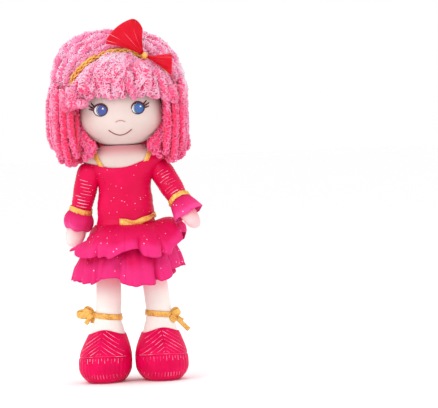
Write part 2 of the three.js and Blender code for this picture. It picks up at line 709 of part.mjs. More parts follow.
const arms = [
  { side: -1, name: "right", lift: RIGHT_LIFT, swing: RIGHT_SWING },
  { side: 1, name: "left", lift: LEFT_LIFT, swing: LEFT_SWING },
];
for (const { side, name, lift, swing } of arms) {
  const arm = new THREE.Group();
  arm.position.set(side * shoulderOut, 0, shoulderHeight);
  arm.rotation.set(-swing, -side * lift, 0);
  doll.add(arm);
  piece(arm, `arm_skin_${name}`, limbSkin(armStations, LIMB_SIDES, handTip), skinFabric);
  piece(arm, `arm_stuffing_${name}`, limbStuffing(armStations, LIMB_SIDES, handTip), fibrefill);
  piece(arm, `sleeve_${name}`, sleeve(), dressFabric);
  piece(arm, `sleeve_band_${name}`, sleeveBand(), goldRibbon);
  piece(arm, `sleeve_ruffle_${name}`, cuff(), tulle);

  // The gathered end of the arm, sewn flat to the torso through the bodice's armhole.
  const thickness = bodiceStand - GAP;
  const disc = new THREE.CylinderGeometry(SEAM_DISC_RADIUS, SEAM_DISC_RADIUS, thickness, 16);
  disc.rotateZ(Math.PI / 2);
  disc.translate(side * (CHEST_HALF_WIDTH + GAP + thickness / 2), 0, shoulderHeight);
  piece(doll, `shoulder_seam_${name}`, disc, skinFabric);
}

// Legs: each has a round top under the torso, a straight calf and a broad foot in a slipper

// Shares of the ankle's height, half the foot's width, half its length and its forward shift
const FOOT_PROFILE = [
  [0, 0.8, 0.82, 1],
  [0.06, 0.93, 0.94, 1],
  [0.18, 1, 1, 1],
  [0.34, 0.99, 0.99, 1],
  [0.46, 0.94, 0.9, 0.86],
  [0.6, 0.83, 0.72, 0.5],
  [0.76, 0.66, 0.52, 0.18],
  [0.9, 0.53, 0.42, 0.03],
];
const footStations = FOOT_PROFILE.map(([height, width, length, forward]) => ({
  z: ANKLE_HEIGHT * height,
  y: -FOOT_FORWARD * forward,
  width: Math.max(LEG_RADIUS, (FOOT_WIDTH / 2) * width),
  depth: Math.max(LEG_RADIUS, (FOOT_LENGTH / 2) * length),
}));
const calfStations = [
  round(ANKLE_HEIGHT, LEG_RADIUS),
  round(LEG_HEIGHT - 2 * HIP_TAPER, LEG_RADIUS),
  round(LEG_HEIGHT - HIP_TAPER, HIP_RADIUS),
  round(LEG_HEIGHT, HIP_RADIUS),
];
const hipStations = ballLevels
  .toReversed()
  .map((s) => round(LEG_HEIGHT + HIP_RADIUS * s, HIP_RADIUS * Math.sqrt(1 - s ** 2)));

// The leg leans so that its foot stands out by the splay while its top stays at the hip.
function lean(stations, splay) {
  return stations.map((s) => ({ ...s, x: splay * Math.max(0, 1 - s.z / LEG_HEIGHT) }));
}

function leg(side, name, splay) {
  const group = new THREE.Group();
  group.position.set((side * HIP_SPACING) / 2, 0, 0);
  group.rotation.z = side * TOE_OUT;
  doll.add(group);

  const dressed = lean([...footStations, ...calfStations, ...hipStations], side * splay);
  const shoeStand = SHOE_WALL + GAP;
  const footFloor = SOLE_THICKNESS + GAP;
  const barefoot = between(dressed, footFloor, dressed[dressed.length - 1].z).map((s) => {
    const hidden = s.z < SHOE_HEIGHT ? shoeStand : shoeStand * Math.max(0, 1 - (s.z - SHOE_HEIGHT) / 10);
    return { ...s, width: s.width - hidden, depth: s.depth - hidden };
  });
  const heel = new THREE.Vector3(barefoot[0].x, barefoot[0].y, footFloor);
  const footSkin = limbSkin(barefoot, LIMB_SIDES, heel);
  piece(group, `leg_skin_${name}`, footSkin, skinFabric);
  const stuffed = between(barefoot, footFloor + SKIN_WALL + GAP, barefoot[barefoot.length - 1].z);
  const sunk = new THREE.Vector3(stuffed[0].x, stuffed[0].y, footFloor);
  piece(group, `leg_stuffing_${name}`, limbStuffing(stuffed, LIMB_SIDES, sunk), fibrefill);

  // The slipper: a sole, a pleated toe and an upper, cut from one shell round the foot.
  const sole = form(between(dressed, 0, SOLE_THICKNESS), LIMB_SIDES);
  piece(group, `shoe_sole_${name}`, sole, shoeFabric);
  const outside = solid(form(between(dressed, footFloor, SHOE_HEIGHT), LIMB_SIDES));
  const hollow = solid(form(inset(between(dressed, footFloor, SHOE_HEIGHT), SHOE_WALL), LIMB_SIDES));
  const shell = outside.subtract(hollow);
  const toeRoom = (grow) =>
    solid(block([-FAR, -FAR, -FAR], [FAR, -TOE_SEAM_BACK + grow, TOE_SEAM_HEIGHT + grow]));
  piece(group, `shoe_upper_${name}`, geometryOf(shell.subtract(toeRoom(0))), shoeFabric);
  piece(group, `shoe_toe_${name}`, geometryOf(shell.intersect(toeRoom(-GAP))), shoeFabric);

  // The gold ribbon round the ankle and its bow on the outer side.
  const ribbonLow = ANKLE_HEIGHT - ANKLE_RIBBON_WIDTH / 2;
  const ribbonTop = ANKLE_HEIGHT + ANKLE_RIBBON_WIDTH / 2;
  const ribbon = bandRound(dressed, LIMB_SIDES, ribbonLow, ribbonTop, GAP, RIBBON_WALL);
  piece(group, `ankle_ribbon_${name}`, ribbon, goldRibbon);
  const bow = ankleBow();
  bow.scale(side, 1, 1);
  const ankle = stationAt(dressed, ribbonLow);
  const bowOut = ankle.x + side * (ankle.width + RIBBON_WALL + 2 * GAP);
  bow.translate(bowOut, 0, ANKLE_HEIGHT);
  const turned = side < 0 ? closedSurface(pointsOf(bow), [...bow.index.array]) : bow;
  piece(group, `ankle_bow_${name}`, turned, goldRibbon);
}

function pointsOf(geometry) {
  const position = geometry.getAttribute("position");
  const point = (i) => new THREE.Vector3().fromBufferAttribute(position, i);
  return Array.from({ length: position.count }, (_, i) => point(i));
}

// A small flat bow that stands out along +X from its knot: two loops and two tails of ribbon.
const ANKLE_BOW = { loop: 13, tail: 19, ribbon: 4, knot: 2.4 };
function ankleBow() {
  const { loop, tail, ribbon, knot: knotHalf } = ANKLE_BOW;
  const outline = new THREE.Shape();
  outline.moveTo(0, 0);
  outline.quadraticCurveTo(loop * 0.6, loop * 0.42, loop, loop * 0.12);
  outline.quadraticCurveTo(loop * 1.06, -loop * 0.16, loop * 0.8, -loop * 0.2);
  outline.quadraticCurveTo(loop * 0.4, -loop * 0.2, 0, 0);
  const flatLoop = () => {
    const cut = new THREE.ExtrudeGeometry(outline, { depth: ribbon, bevelEnabled: false, curveSegments: 4 });
    return cut.translate(0, 0, -ribbon / 2).rotateX(Math.PI / 2);
  };
  const flatTail = () => new THREE.BoxGeometry(tail, RIBBON_WALL * 1.5, ribbon).translate(tail / 2, 0, 0);
  const turn = (degrees) => THREE.MathUtils.degToRad(degrees);
  const start = knotHalf;
  const parts = [
    flatLoop().rotateY(turn(-28)).translate(start, 0, 0),
    flatLoop().rotateY(turn(14)).rotateX(turn(180)).translate(start, 0, -1),
    flatTail().rotateY(turn(38)).translate(start, -1.2, -0.5),
    new THREE.BoxGeometry(2 * knotHalf, 2.4 * knotHalf, 2.2 * knotHalf).translate(knotHalf, 0, 0),
  ];
  return geometryOf(parts.map((part) => solid(part)).reduce((all, part) => all.add(part)));
}

leg(-1, "right", RIGHT_SPLAY);
leg(1, "left", LEFT_SPLAY);

export default doll;
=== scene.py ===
import json
import math
import random

import bmesh
import bpy
import numpy as np
from mathutils import Matrix, Vector, noise
from mathutils.bvhtree import BVHTree


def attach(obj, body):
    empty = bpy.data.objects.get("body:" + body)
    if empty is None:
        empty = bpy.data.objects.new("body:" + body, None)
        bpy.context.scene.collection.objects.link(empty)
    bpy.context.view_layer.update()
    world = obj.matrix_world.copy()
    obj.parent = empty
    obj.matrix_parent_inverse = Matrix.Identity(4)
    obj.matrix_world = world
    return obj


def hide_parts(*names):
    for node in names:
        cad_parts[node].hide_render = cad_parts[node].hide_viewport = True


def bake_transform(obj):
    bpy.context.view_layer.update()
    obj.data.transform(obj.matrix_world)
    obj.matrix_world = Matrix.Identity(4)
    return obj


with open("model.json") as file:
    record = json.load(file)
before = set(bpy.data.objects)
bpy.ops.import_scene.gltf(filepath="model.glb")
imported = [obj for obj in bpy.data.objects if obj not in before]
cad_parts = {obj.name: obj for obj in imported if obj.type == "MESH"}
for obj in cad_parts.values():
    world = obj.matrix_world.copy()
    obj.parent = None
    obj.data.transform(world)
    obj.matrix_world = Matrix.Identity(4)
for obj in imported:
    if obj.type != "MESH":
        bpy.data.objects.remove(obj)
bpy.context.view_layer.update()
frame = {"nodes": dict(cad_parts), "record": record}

MM = 0.001

# Studio: a pale floor under an even white surround, with a large soft key light from the upper left,
# a weaker fill and a light from above. The camera looks level at the doll from three metres.
scene = bpy.context.scene
scene.view_settings.view_transform = "Standard"
VIEW_CENTRE = Vector((0.0935, 0, 0.1719))
VIEW_DISTANCE = 3.0
VIEW_PITCH = math.radians(2)
VIEW_ROLL = math.radians(-2.6)
FRAME_WIDTH = 0.438
LIGHT_AIM = Vector((0, 0, 0.17))

surround = bpy.data.worlds.new("white_surround")
surround.use_nodes = True
surround.node_tree.nodes["Background"].inputs["Color"].default_value = (1, 1, 1, 1)
surround.node_tree.nodes["Background"].inputs["Strength"].default_value = 1.0
scene.world = surround


class Finish:
    """A finish in the making: a material with its shader, and ways to add nodes to it."""

    def __init__(self, name, roughness, **sockets):
        self.material = bpy.data.materials.new(name)
        self.material.use_nodes = True
        self.tree = self.material.node_tree
        self.shader = self.tree.nodes["Principled BSDF"]
        self.shader.inputs["Roughness"].default_value = roughness
        for socket, value in sockets.items():
            self.shader.inputs[socket.replace("_", " ")].default_value = value

    def link(self, source, target):
        """Joins two sockets."""
        self.tree.links.new(source, target)

    def add(self, kind, *sources, **settings):
        """A new node. Its first inputs take the sources, each of them a socket or a number."""
        node = self.tree.nodes.new("ShaderNode" + kind)
        for key, value in settings.items():
            socket = key.replace("_", " ")
            if socket in node.inputs:
                node.inputs[socket].default_value = value
            else:
                setattr(node, key, value)
        for target, source in zip(node.inputs, sources):
            if isinstance(source, float):
                target.default_value = source
            else:
                self.link(source, target)
        return node

    def lay(self, kind, **settings):
        """A pattern that lies on the piece, by its Object coordinates."""
        return self.add(kind, self.add("TexCoord").outputs["Object"], **settings)

    def tones(self, source, *stops):
        """The colour that a source picks from a ramp of (place, colour) stops."""
        ramp = self.add("ValToRGB", source)
        while len(ramp.color_ramp.elements) < len(stops):
            ramp.color_ramp.elements.new(0.5)
        for element, (place, colour) in zip(ramp.color_ramp.elements, stops):
            element.position = place
            element.color = (*colour, 1)
        return ramp.outputs["Color"]

    def colour(self, source):
        """Colours the finish by a source."""
        self.link(source, self.shader.inputs["Base Color"])


def as_piece(name, bm, *finishes):
    """An object at the origin, with its place in its mesh."""
    mesh = bpy.data.meshes.new(name)
    bm.to_mesh(mesh)
    bm.free()
    mesh.shade_smooth()
    for finish in finishes:
        mesh.materials.append(finish.material)
    piece = bpy.data.objects.new(name, mesh)
    scene.collection.objects.link(piece)
    return piece


paper = Finish("pale_floor", 0.9)
speck = paper.lay("TexNoise", Scale=40)
paper.colour(paper.tones(speck.outputs["Fac"], (0.3, (0.985, 0.985, 0.985)), (0.7, (1.0, 1.0, 1.0))))
bm = bmesh.new()
bmesh.ops.create_grid(bm, x_segments=8, y_segments=8, size=12)
as_piece("floor", bm, paper)

for name, place, size, power in (
    ("key_light", (-0.9, -1.3, 1.3), 1.0, 9),
    ("fill_light", (1.2, -1.2, 0.6), 1.2, 2),
    ("top_light", (0, 0.3, 1.6), 1.0, 5),
):
    lamp = bpy.data.lights.new(name, "AREA")
    lamp.size = size
    lamp.energy = power
    light = bpy.data.objects.new(name, lamp)
    light.location = place
    light.rotation_euler = (LIGHT_AIM - light.location).to_track_quat("-Z", "Y").to_euler()
    scene.collection.objects.link(light)

lens = bpy.data.cameras.new("camera")
lens.sensor_width = 36
lens.lens = lens.sensor_width * VIEW_DISTANCE / FRAME_WIDTH
camera = bpy.data.objects.new("camera", lens)
aim = Matrix.Rotation(math.pi / 2 - VIEW_PITCH, 4, "X") @ Matrix.Rotation(VIEW_ROLL, 4, "Z")
back = aim.to_3x3() @ Vector((0, 0, VIEW_DISTANCE))
camera.matrix_world = Matrix.Translation(VIEW_CENTRE + back) @ aim
scene.collection.objects.link(camera)
scene.camera = camera


# Fibrefill: loose white polyester fibre, packed into the torso, head and limbs through a gap in a seam.
# It is closed in by the skins, and lies a little lumpy against them.
def emboss(finish, source, strength, depth):
    """Raises a finish by a pattern, to a depth in millimetres."""
    raised = finish.add("Bump", Strength=strength, Distance=depth * MM)
    finish.link(source, raised.inputs["Height"])
    finish.link(raised.outputs["Normal"], finish.shader.inputs["Normal"])


fluff = Finish("white_fibrefill", 1.0, Sheen_Weight=0.4)
fibres = fluff.lay("TexNoise", Scale=300, Detail=6).outputs["Fac"]
fluff.colour(fluff.tones(fibres, (0.3, (0.78, 0.78, 0.76)), (0.7, (0.92, 0.92, 0.9))))
emboss(fluff, fibres, 0.6, 1.0)


def merged_copy(node):
    """A mesh of its own from a CAD node, with its loose corners joined."""
    bm = bmesh.new()
    bm.from_mesh(frame["nodes"][node].data)
    bmesh.ops.remove_doubles(bm, verts=bm.verts, dist=1e-5)
    return bm


LEG_SLACK, HEAD_SLACK, OTHER_SLACK = 4.6, 3.2, 0.7
for body, members in frame["record"]["behaviour"]["bodies"].items():
    for node in (member for member in members if "stuffing" in member):
        slack = LEG_SLACK if "leg" in node else HEAD_SLACK if "head" in node else OTHER_SLACK
        bm = merged_copy(node)
        bmesh.ops.subdivide_edges(bm, edges=bm.edges, cuts=1, use_grid_fill=True)
        bm.normal_update()
        for v in bm.verts:
            v.co -= v.normal * (slack + 0.6 * noise.noise(v.co * 90)) * MM
        packed = as_piece(node.replace("stuffing", "fibrefill"), bm, fluff)
        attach(packed, body)
        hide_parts(node)


# Torso skin: a bag of pale stretch knit with sloping shoulders and a wide neck, sewn shut at the seat
# and gathered to the head at the neck. It is stuffed tight, so it swells between its seams.
def overlaid(finish, share, ground, colour, how="MIX"):
    """A ground with a colour laid over it by a share."""
    mix = finish.add("Mix", share, data_type="RGBA", blend_type=how)
    finish.link(ground, mix.inputs[6])
    mix.inputs[7].default_value = (*colour, 1)
    return mix.outputs[2]


def skin_knit(name, pale, lighter, pink):
    """Stretch knit in fine wales, pinker by the painted pink shade and faint pink tint that each piece carries."""
    knit = Finish(name, 0.8, Sheen_Weight=0.2, Sheen_Roughness=0.5, Specular_IOR_Level=0.25)
    blotch = knit.lay("TexNoise", Scale=60, Detail=3)
    ground = knit.tones(blotch.outputs["Fac"], (0.3, pale), (0.75, lighter))
    tint_and_painted_shade = knit.add("Attribute", attribute_name="tint_and_painted_shade")
    knit.colour(overlaid(knit, tint_and_painted_shade.outputs["Fac"], ground, pink))
    wales = knit.lay("TexWave", bands_direction="X", Scale=330, Distortion=0.6, Detail=1)
    courses = knit.lay("TexWave", bands_direction="Z", Scale=420, Distortion=0.6, Detail=1)
    weave = knit.add("Math", wales.outputs["Fac"], courses.outputs["Fac"], operation="MULTIPLY")
    emboss(knit, weave.outputs["Value"], 0.16, 0.4)
    return knit


pale_knit = skin_knit("pale_skin_knit", (0.70, 0.575, 0.53), (0.735, 0.61, 0.565), (0.55, 0.20, 0.22))


def fair(fitted, count):
    """A fair run of hoops through a few fitted ones. A hoop is (height, half width, half depth, x, y)."""
    knots = np.array([(*hoop, 0, 0)[:5] for hoop in fitted], float)
    ends = np.vstack([2 * knots[0] - knots[1], knots, 2 * knots[-1] - knots[-2]])
    hoops = []
    for t in np.linspace(0, len(knots) - 1, count):
        i = min(int(t), len(knots) - 2)
        a, b, c, d = ends[i : i + 4]
        f = t - i
        hoops.append(b + 0.5 * f * (c - a + f * (2 * a - 5 * b + 4 * c - d + f * (3 * b - a - 3 * c + d))))
    return hoops


def hoop_frame(hoop):
    """The place and size of a hoop, for a circle of radius 1."""
    z, width, depth, x, y = (float(part) * MM for part in hoop)
    return Matrix.Translation((x, y, z)) @ Matrix.Diagonal((max(width, 0.2 * MM), max(depth, 0.2 * MM), 1, 1))


def skinned(hoops, sides, closed=True):
    """A skin drawn from hoop to hoop by extruding its rim, and closed at both ends."""
    bm = bmesh.new()
    bmesh.ops.create_circle(bm, segments=sides, radius=1)
    last = hoop_frame(hoops[0])
    bmesh.ops.transform(bm, matrix=last, verts=bm.verts)
    rim = bm.edges[:]
    if closed:
        bmesh.ops.edgeloop_fill(bm, edges=rim)
    for hoop in hoops[1:]:
        grown = bmesh.ops.extrude_edge_only(bm, edges=rim)["geom"]
        fresh = {part for part in grown if isinstance(part, bmesh.types.BMVert)}
        rim = [part for part in grown if isinstance(part, bmesh.types.BMEdge) and fresh.issuperset(part.verts)]
        now = hoop_frame(hoop)
        bmesh.ops.transform(bm, matrix=now @ last.inverted(), verts=list(fresh))
        last = now
    if closed:
        bmesh.ops.edgeloop_fill(bm, edges=rim)
    bmesh.ops.recalc_face_normals(bm, faces=bm.faces)
    return bm


def lumpy(bm, height, size):
    """Pushes the skin in and out by the stuffing behind it."""
    bm.normal_update()
    for v in bm.verts:
        v.co += v.normal * (height * noise.noise(v.co / (size * MM))) * MM


def paint_tint_and_shade(piece, amount):
    """Writes how much painted pink shade and pink tint the skin takes at each point, by a rule on its place in
    millimetres.
    """
    tint = piece.data.attributes.new("tint_and_painted_shade", "FLOAT", "POINT")
    tint.data.foreach_set("value", [amount(v.co / MM) for v in piece.data.vertices])


def ease(low, high, value):
    """A smooth step, from 0 where the value is low to 1 where it is high."""
    t = min(max((value - low) / (high - low), 0), 1)
    return t * t * (3 - 2 * t)


SWELL_PRESSURE = 4
SWELL_FRAMES = 20


def stuffed(piece, sewn, cap):
    """Swells a sewn skin on its stuffing: a short cloth simulation under pressure, held still along its seams.
    No point moves further than the cap in millimetres."""
    seams = piece.vertex_groups.new(name="sewn")
    seams.add([v.index for v in piece.data.vertices if sewn(v.co / MM)], 1.0, "REPLACE")
    swelling = piece.modifiers.new("swelling", "CLOTH")
    swelling.settings.vertex_group_mass = seams.name
    swelling.settings.use_pressure = True
    swelling.settings.uniform_pressure_force = SWELL_PRESSURE
    swelling.settings.effector_weights.gravity = 0
    swelling.collision_settings.use_collision = False
    swelling.point_cache.frame_end = SWELL_FRAMES
    for moment in range(1, SWELL_FRAMES + 1):
        scene.frame_set(moment)
    pressed = piece.evaluated_get(bpy.context.evaluated_depsgraph_get())
    places = [v.co.copy() for v in pressed.to_mesh().vertices]
    piece.modifiers.remove(swelling)
    piece.vertex_groups.remove(seams)
    for v, place in zip(piece.data.vertices, places):
        way = place - v.co
        v.co += way * min(1, cap * MM / max(way.length, 1e-9))
    piece.data.update()
    scene.frame_set(1)


torso_hoops = [
    (139.3, 12, 8), (140, 21.5, 14.5), (144, 25.6, 18.8), (152, 26.5, 20), (173, 26.5, 20), (192, 24.3, 18),
    (206, 24.4, 18), (213, 27, 18), (217, 33.5, 17.9), (219.5, 38.6, 17.4), (222, 39, 17.0), (226, 36, 17.0),
    (230, 29.2, 16.8), (232.4, 25, 16.6), (234.2, 22.6, 16.4), (235.2, 21.2, 15.7), (235, 19.2, 14.4),
    (234.1, 14.5, 11), (233.2, 8, 6.4), (232.8, 2, 2),
]
bm = skinned(fair(torso_hoops, 90), 72)
lumpy(bm, 0.35, 14)
torso_tree = BVHTree.FromBMesh(bm)
torso = as_piece("torso_cloth", bm, pale_knit)
stuffed(torso, lambda p: p.z < 208 or p.z > 233 or abs(p.x) > 33, 0.5)
# Painted pink shade under the chin, on the front of the neck, over a faint even pink tint.
paint_tint_and_shade(torso, lambda p: 0.08 + 0.9 * ease(220, 234, p.z) * ease(32, 20, abs(p.x)) * ease(8, -8, p.y))
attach(torso, "torso")
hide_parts("torso_skin")

# Legs: tubes of the same knit with a round top sewn under the torso and a broad stuffed foot.
# A ladder-stitched seam closes each one down its back.
HIP_SPACING = 22
LEG_HEIGHT = 127
TOE_OUT = math.radians(11)
SPLAY = {"right": 2.8, "left": 6}
ANKLE_BOW = {"right": 0.4, "left": 3.6}
SIDE = {"right": -1, "left": 1}
leg_hoops = [
    (4.6, 12, 18, -11), (6.5, 17.5, 24, -11), (12, 21.6, 28.2, -11), (22.4, 22.8, 29, -11),
    (30.4, 22, 26.6, -9.8), (39.6, 19, 21, -6), (48, 17.3, 16.8, -2.2), (54, 15.7, 15, -1.2),
    (60, 13.8, 13.5, -0.5), (67, 12.9, 12.7, 0), (76, 12.6, 12.5, 0), (90, 12.4, 12.3, 0),
    (105, 11.9, 11.8, 0), (122, 11.9, 11.9, 0), (131, 11, 11, 0), (136.6, 6.6, 6.6, 0), (138.4, 1.5, 1.5, 0),
]
foot_hoops = [
    (0, 21.2, 27.1, -11), (4, 24.2, 31, -11), (11.9, 26.3, 33, -11), (22.4, 26.9, 33, -11),
    (30.4, 26, 30.6, -9.8), (39.6, 23, 25, -6), (50.2, 18.4, 18.2, -2.2), (59.4, 14, 13.9, -0.3),
    (66, 12.5, 12.5, 0),
]


def standing(name):
    """Places a leg's own frame: turned out at the toes, with its top at the hip."""
    side = SIDE[name]
    return Matrix.Translation((side * HIP_SPACING * MM, 0, 0)) @ Matrix.Rotation(side * TOE_OUT, 4, "Z")


def placed(own_frame, point):
    """A point in millimetres of a limb's own frame, where it lies on the doll."""
    return own_frame @ (Vector(point) * MM) / MM


def leg_shift(name, z):
    """How far the leg's middle lies to one side: it leans out towards its foot, and bows to the doll's left."""
    bow = 2.2 * math.exp(-(((z - 92) / 24) ** 2)) + ANKLE_BOW[name] * math.exp(-(((z - 60) / 24) ** 2))
    return SIDE[name] * SPLAY[name] * max(0, 1 - z / LEG_HEIGHT) + bow


def leaning(hoops, name):
    """The hoops of a leg or a shoe, each shifted with the leg at its height."""
    return [(z, w, d, leg_shift(name, z), y) for z, w, d, y in hoops]


# A lighter copy of the skin knit: painted light that lifts the legs out of the tutu's shade. The arms are made of it
# too.
brightened_knit = skin_knit("leg_skin_knit", (0.90, 0.83, 0.78), (0.94, 0.87, 0.82), (0.97, 0.32, 0.39))


def cords(name, paths, radius, sides=1, ends=True):
    """The mesh of cord along each path of points in millimetres. A point may carry its share of the radius."""
    line = bpy.data.curves.new(name, "CURVE")
    line.dimensions = "3D"
    line.bevel_depth = radius * MM
    line.bevel_resolution = sides
    line.use_fill_caps = ends
    for path in paths:
        spline = line.splines.new("POLY")
        spline.points.add(len(path) - 1)
        places = np.ones((len(path), 4))
        places[:, :3] = [tuple(point)[:3] for point in path]
        places[:, :3] *= MM
        spline.points.foreach_set("co", places.ravel())
        spline.points.foreach_set("radius", [tuple(point)[3] if len(point) > 3 else 1.0 for point in path])
    drawn = bpy.data.objects.new(name + "_path", line)
    scene.collection.objects.link(drawn)
    mesh = bpy.data.meshes.new_from_object(drawn.evaluated_get(bpy.context.evaluated_depsgraph_get()))
    bpy.data.objects.remove(drawn)
    bm = bmesh.new()
    bm.from_mesh(mesh)
    bpy.data.meshes.remove(mesh)
    return bm


def thread(name, paths, radius, finish, body, sides=1, ends=True):
    """A piece made of cord."""
    piece = as_piece(name, cords(name, paths, radius, sides, ends), finish)
    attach(piece, body)
    return piece


pale_thread = Finish("skin_thread", 0.7)
twist = pale_thread.lay("TexWave", bands_direction="DIAGONAL", Scale=500)
pale_thread.colour(pale_thread.tones(twist.outputs["Fac"], (0.2, (0.74, 0.58, 0.54)), (0.8, (0.85, 0.72, 0.67))))

for name in SIDE:
    bm = skinned(fair(leaning(leg_hoops, name), 90), 56)
    lumpy(bm, 0.5, 11)
    for v in bm.verts:
        behind = math.exp(-((v.co.x / (1.1 * MM)) ** 2)) if v.co.y > 0 else 0
        v.co.y -= 0.5 * MM * behind
    bmesh.ops.transform(bm, matrix=standing(name), verts=bm.verts)
    leg = as_piece(f"leg_{name}_cloth", bm, brightened_knit)
    stuffed(leg, lambda p: p.z > 126 or p.z < 48 or abs(p.z - 65.5) < 3, 0.7)
    # Painted pink shade under the tutu at the top of the leg, and a little more on its inner side above the ankle.
    paint_tint_and_shade(leg, lambda p: ease(80, 112, p.z) + 0.15 * ease(62, 84, p.z) * ease(26, 14, abs(p.x)))
    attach(leg, "leg_" + name)
    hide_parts(f"leg_skin_{name}")
    rungs = []
    for z in np.arange(72, 122, 2.6):
        x, y = leg_shift(name, z), 12.6 if z < 95 else 12.2
        ladder = [(x - 1.1, y - 0.1, z), (x, y + 0.25, z + 0.5), (x + 1.1, y - 0.1, z + 1)]
        rungs.append([placed(standing(name), point) for point in ladder])
    thread(f"leg_{name}_seam", rungs, 0.28, pale_thread, "leg_" + name, ends=False)

# Slippers: soft satin shoes of three pieces, an upper with chevrons of metallic thread, a gathered toe
# and a flat sole with a rolled edge. Each is sewn closed round the foot, of padded satin 1.3 mm thick.
SHOE_TOP = 54
SHOE_WALL = 1.3
sole_hoops = [
    (0.1, 11, 17, -11), (0.1, 13.4, 19.4, -11), (0.5, 15, 21, -11), (1.4, 16.2, 22.2, -11),
    (2.6, 16.4, 22.4, -11), (3.8, 15, 21, -11), (3.8, 4, 5, -11),
]
satin_shoe = Finish("shoe_satin", 0.45, Specular_IOR_Level=0.08)
cloud = satin_shoe.lay("TexNoise", Scale=90, Detail=3)
satin_shoe.colour(satin_shoe.tones(cloud.outputs["Fac"], (0.3, (0.66, 0.001, 0.066)), (0.7, (0.82, 0.002, 0.10))))
ribs = satin_shoe.lay("TexWave", bands_direction="Z", Scale=450, Distortion=1.0)
emboss(satin_shoe, ribs.outputs["Fac"], 0.15, 0.4)

rolled_edge = Finish("shoe_piping", 0.42, Specular_IOR_Level=0.2)
cloud = rolled_edge.lay("TexNoise", Scale=120, Detail=3)
rolled_edge.colour(rolled_edge.tones(cloud.outputs["Fac"], (0.3, (0.72, 0.006, 0.10)), (0.7, (0.86, 0.025, 0.17))))

# The metallic thread is mottled from hot pink to pale pink: the pale patches are painted glints.
silver_pink = Finish("metallic_pink_thread", 0.35, Metallic=0.35)
glint = silver_pink.lay("TexNoise", Scale=120, Detail=2)
silver_pink.colour(silver_pink.tones(glint.outputs["Fac"], (0.46, (0.88, 0.07, 0.22)), (0.64, (1.0, 0.60, 0.72))))


def cut_cloth(columns, rows, hang):
    """A flat cut of cloth as a grid, with its own UV map, hung point by point in millimetres."""
    bm = bmesh.new()
    chart = bm.loops.layers.uv.verify()
    bmesh.ops.create_grid(bm, x_segments=columns, y_segments=rows, size=0.5)
    for face in bm.faces:
        for loop in face.loops:
            loop[chart].uv = (loop.vert.co.x + 0.5, loop.vert.co.y + 0.5)
    for v in bm.verts:
        v.co = Vector(hang(v.co.x + 0.5, v.co.y + 0.5)) * MM
    return bm


def sewn_closed(bm):
    """Joins the edges of a cut that meet, and turns its faces outwards."""
    bmesh.ops.remove_doubles(bm, verts=bm.verts, dist=1e-6)
    bmesh.ops.recalc_face_normals(bm, faces=bm.faces)


def thickened(piece, thickness, offset):
    """Gives cloth its thickness in millimetres, inwards for an offset of -1 and to both sides for 0."""
    solid = piece.modifiers.new("thickness", "SOLIDIFY")
    solid.thickness = thickness * MM
    solid.offset = offset


def toe_seam(x):
    """Height of the seam between the toe and the upper, across the foot."""
    return 26.4 + 0.8 * math.cos(x / 9)


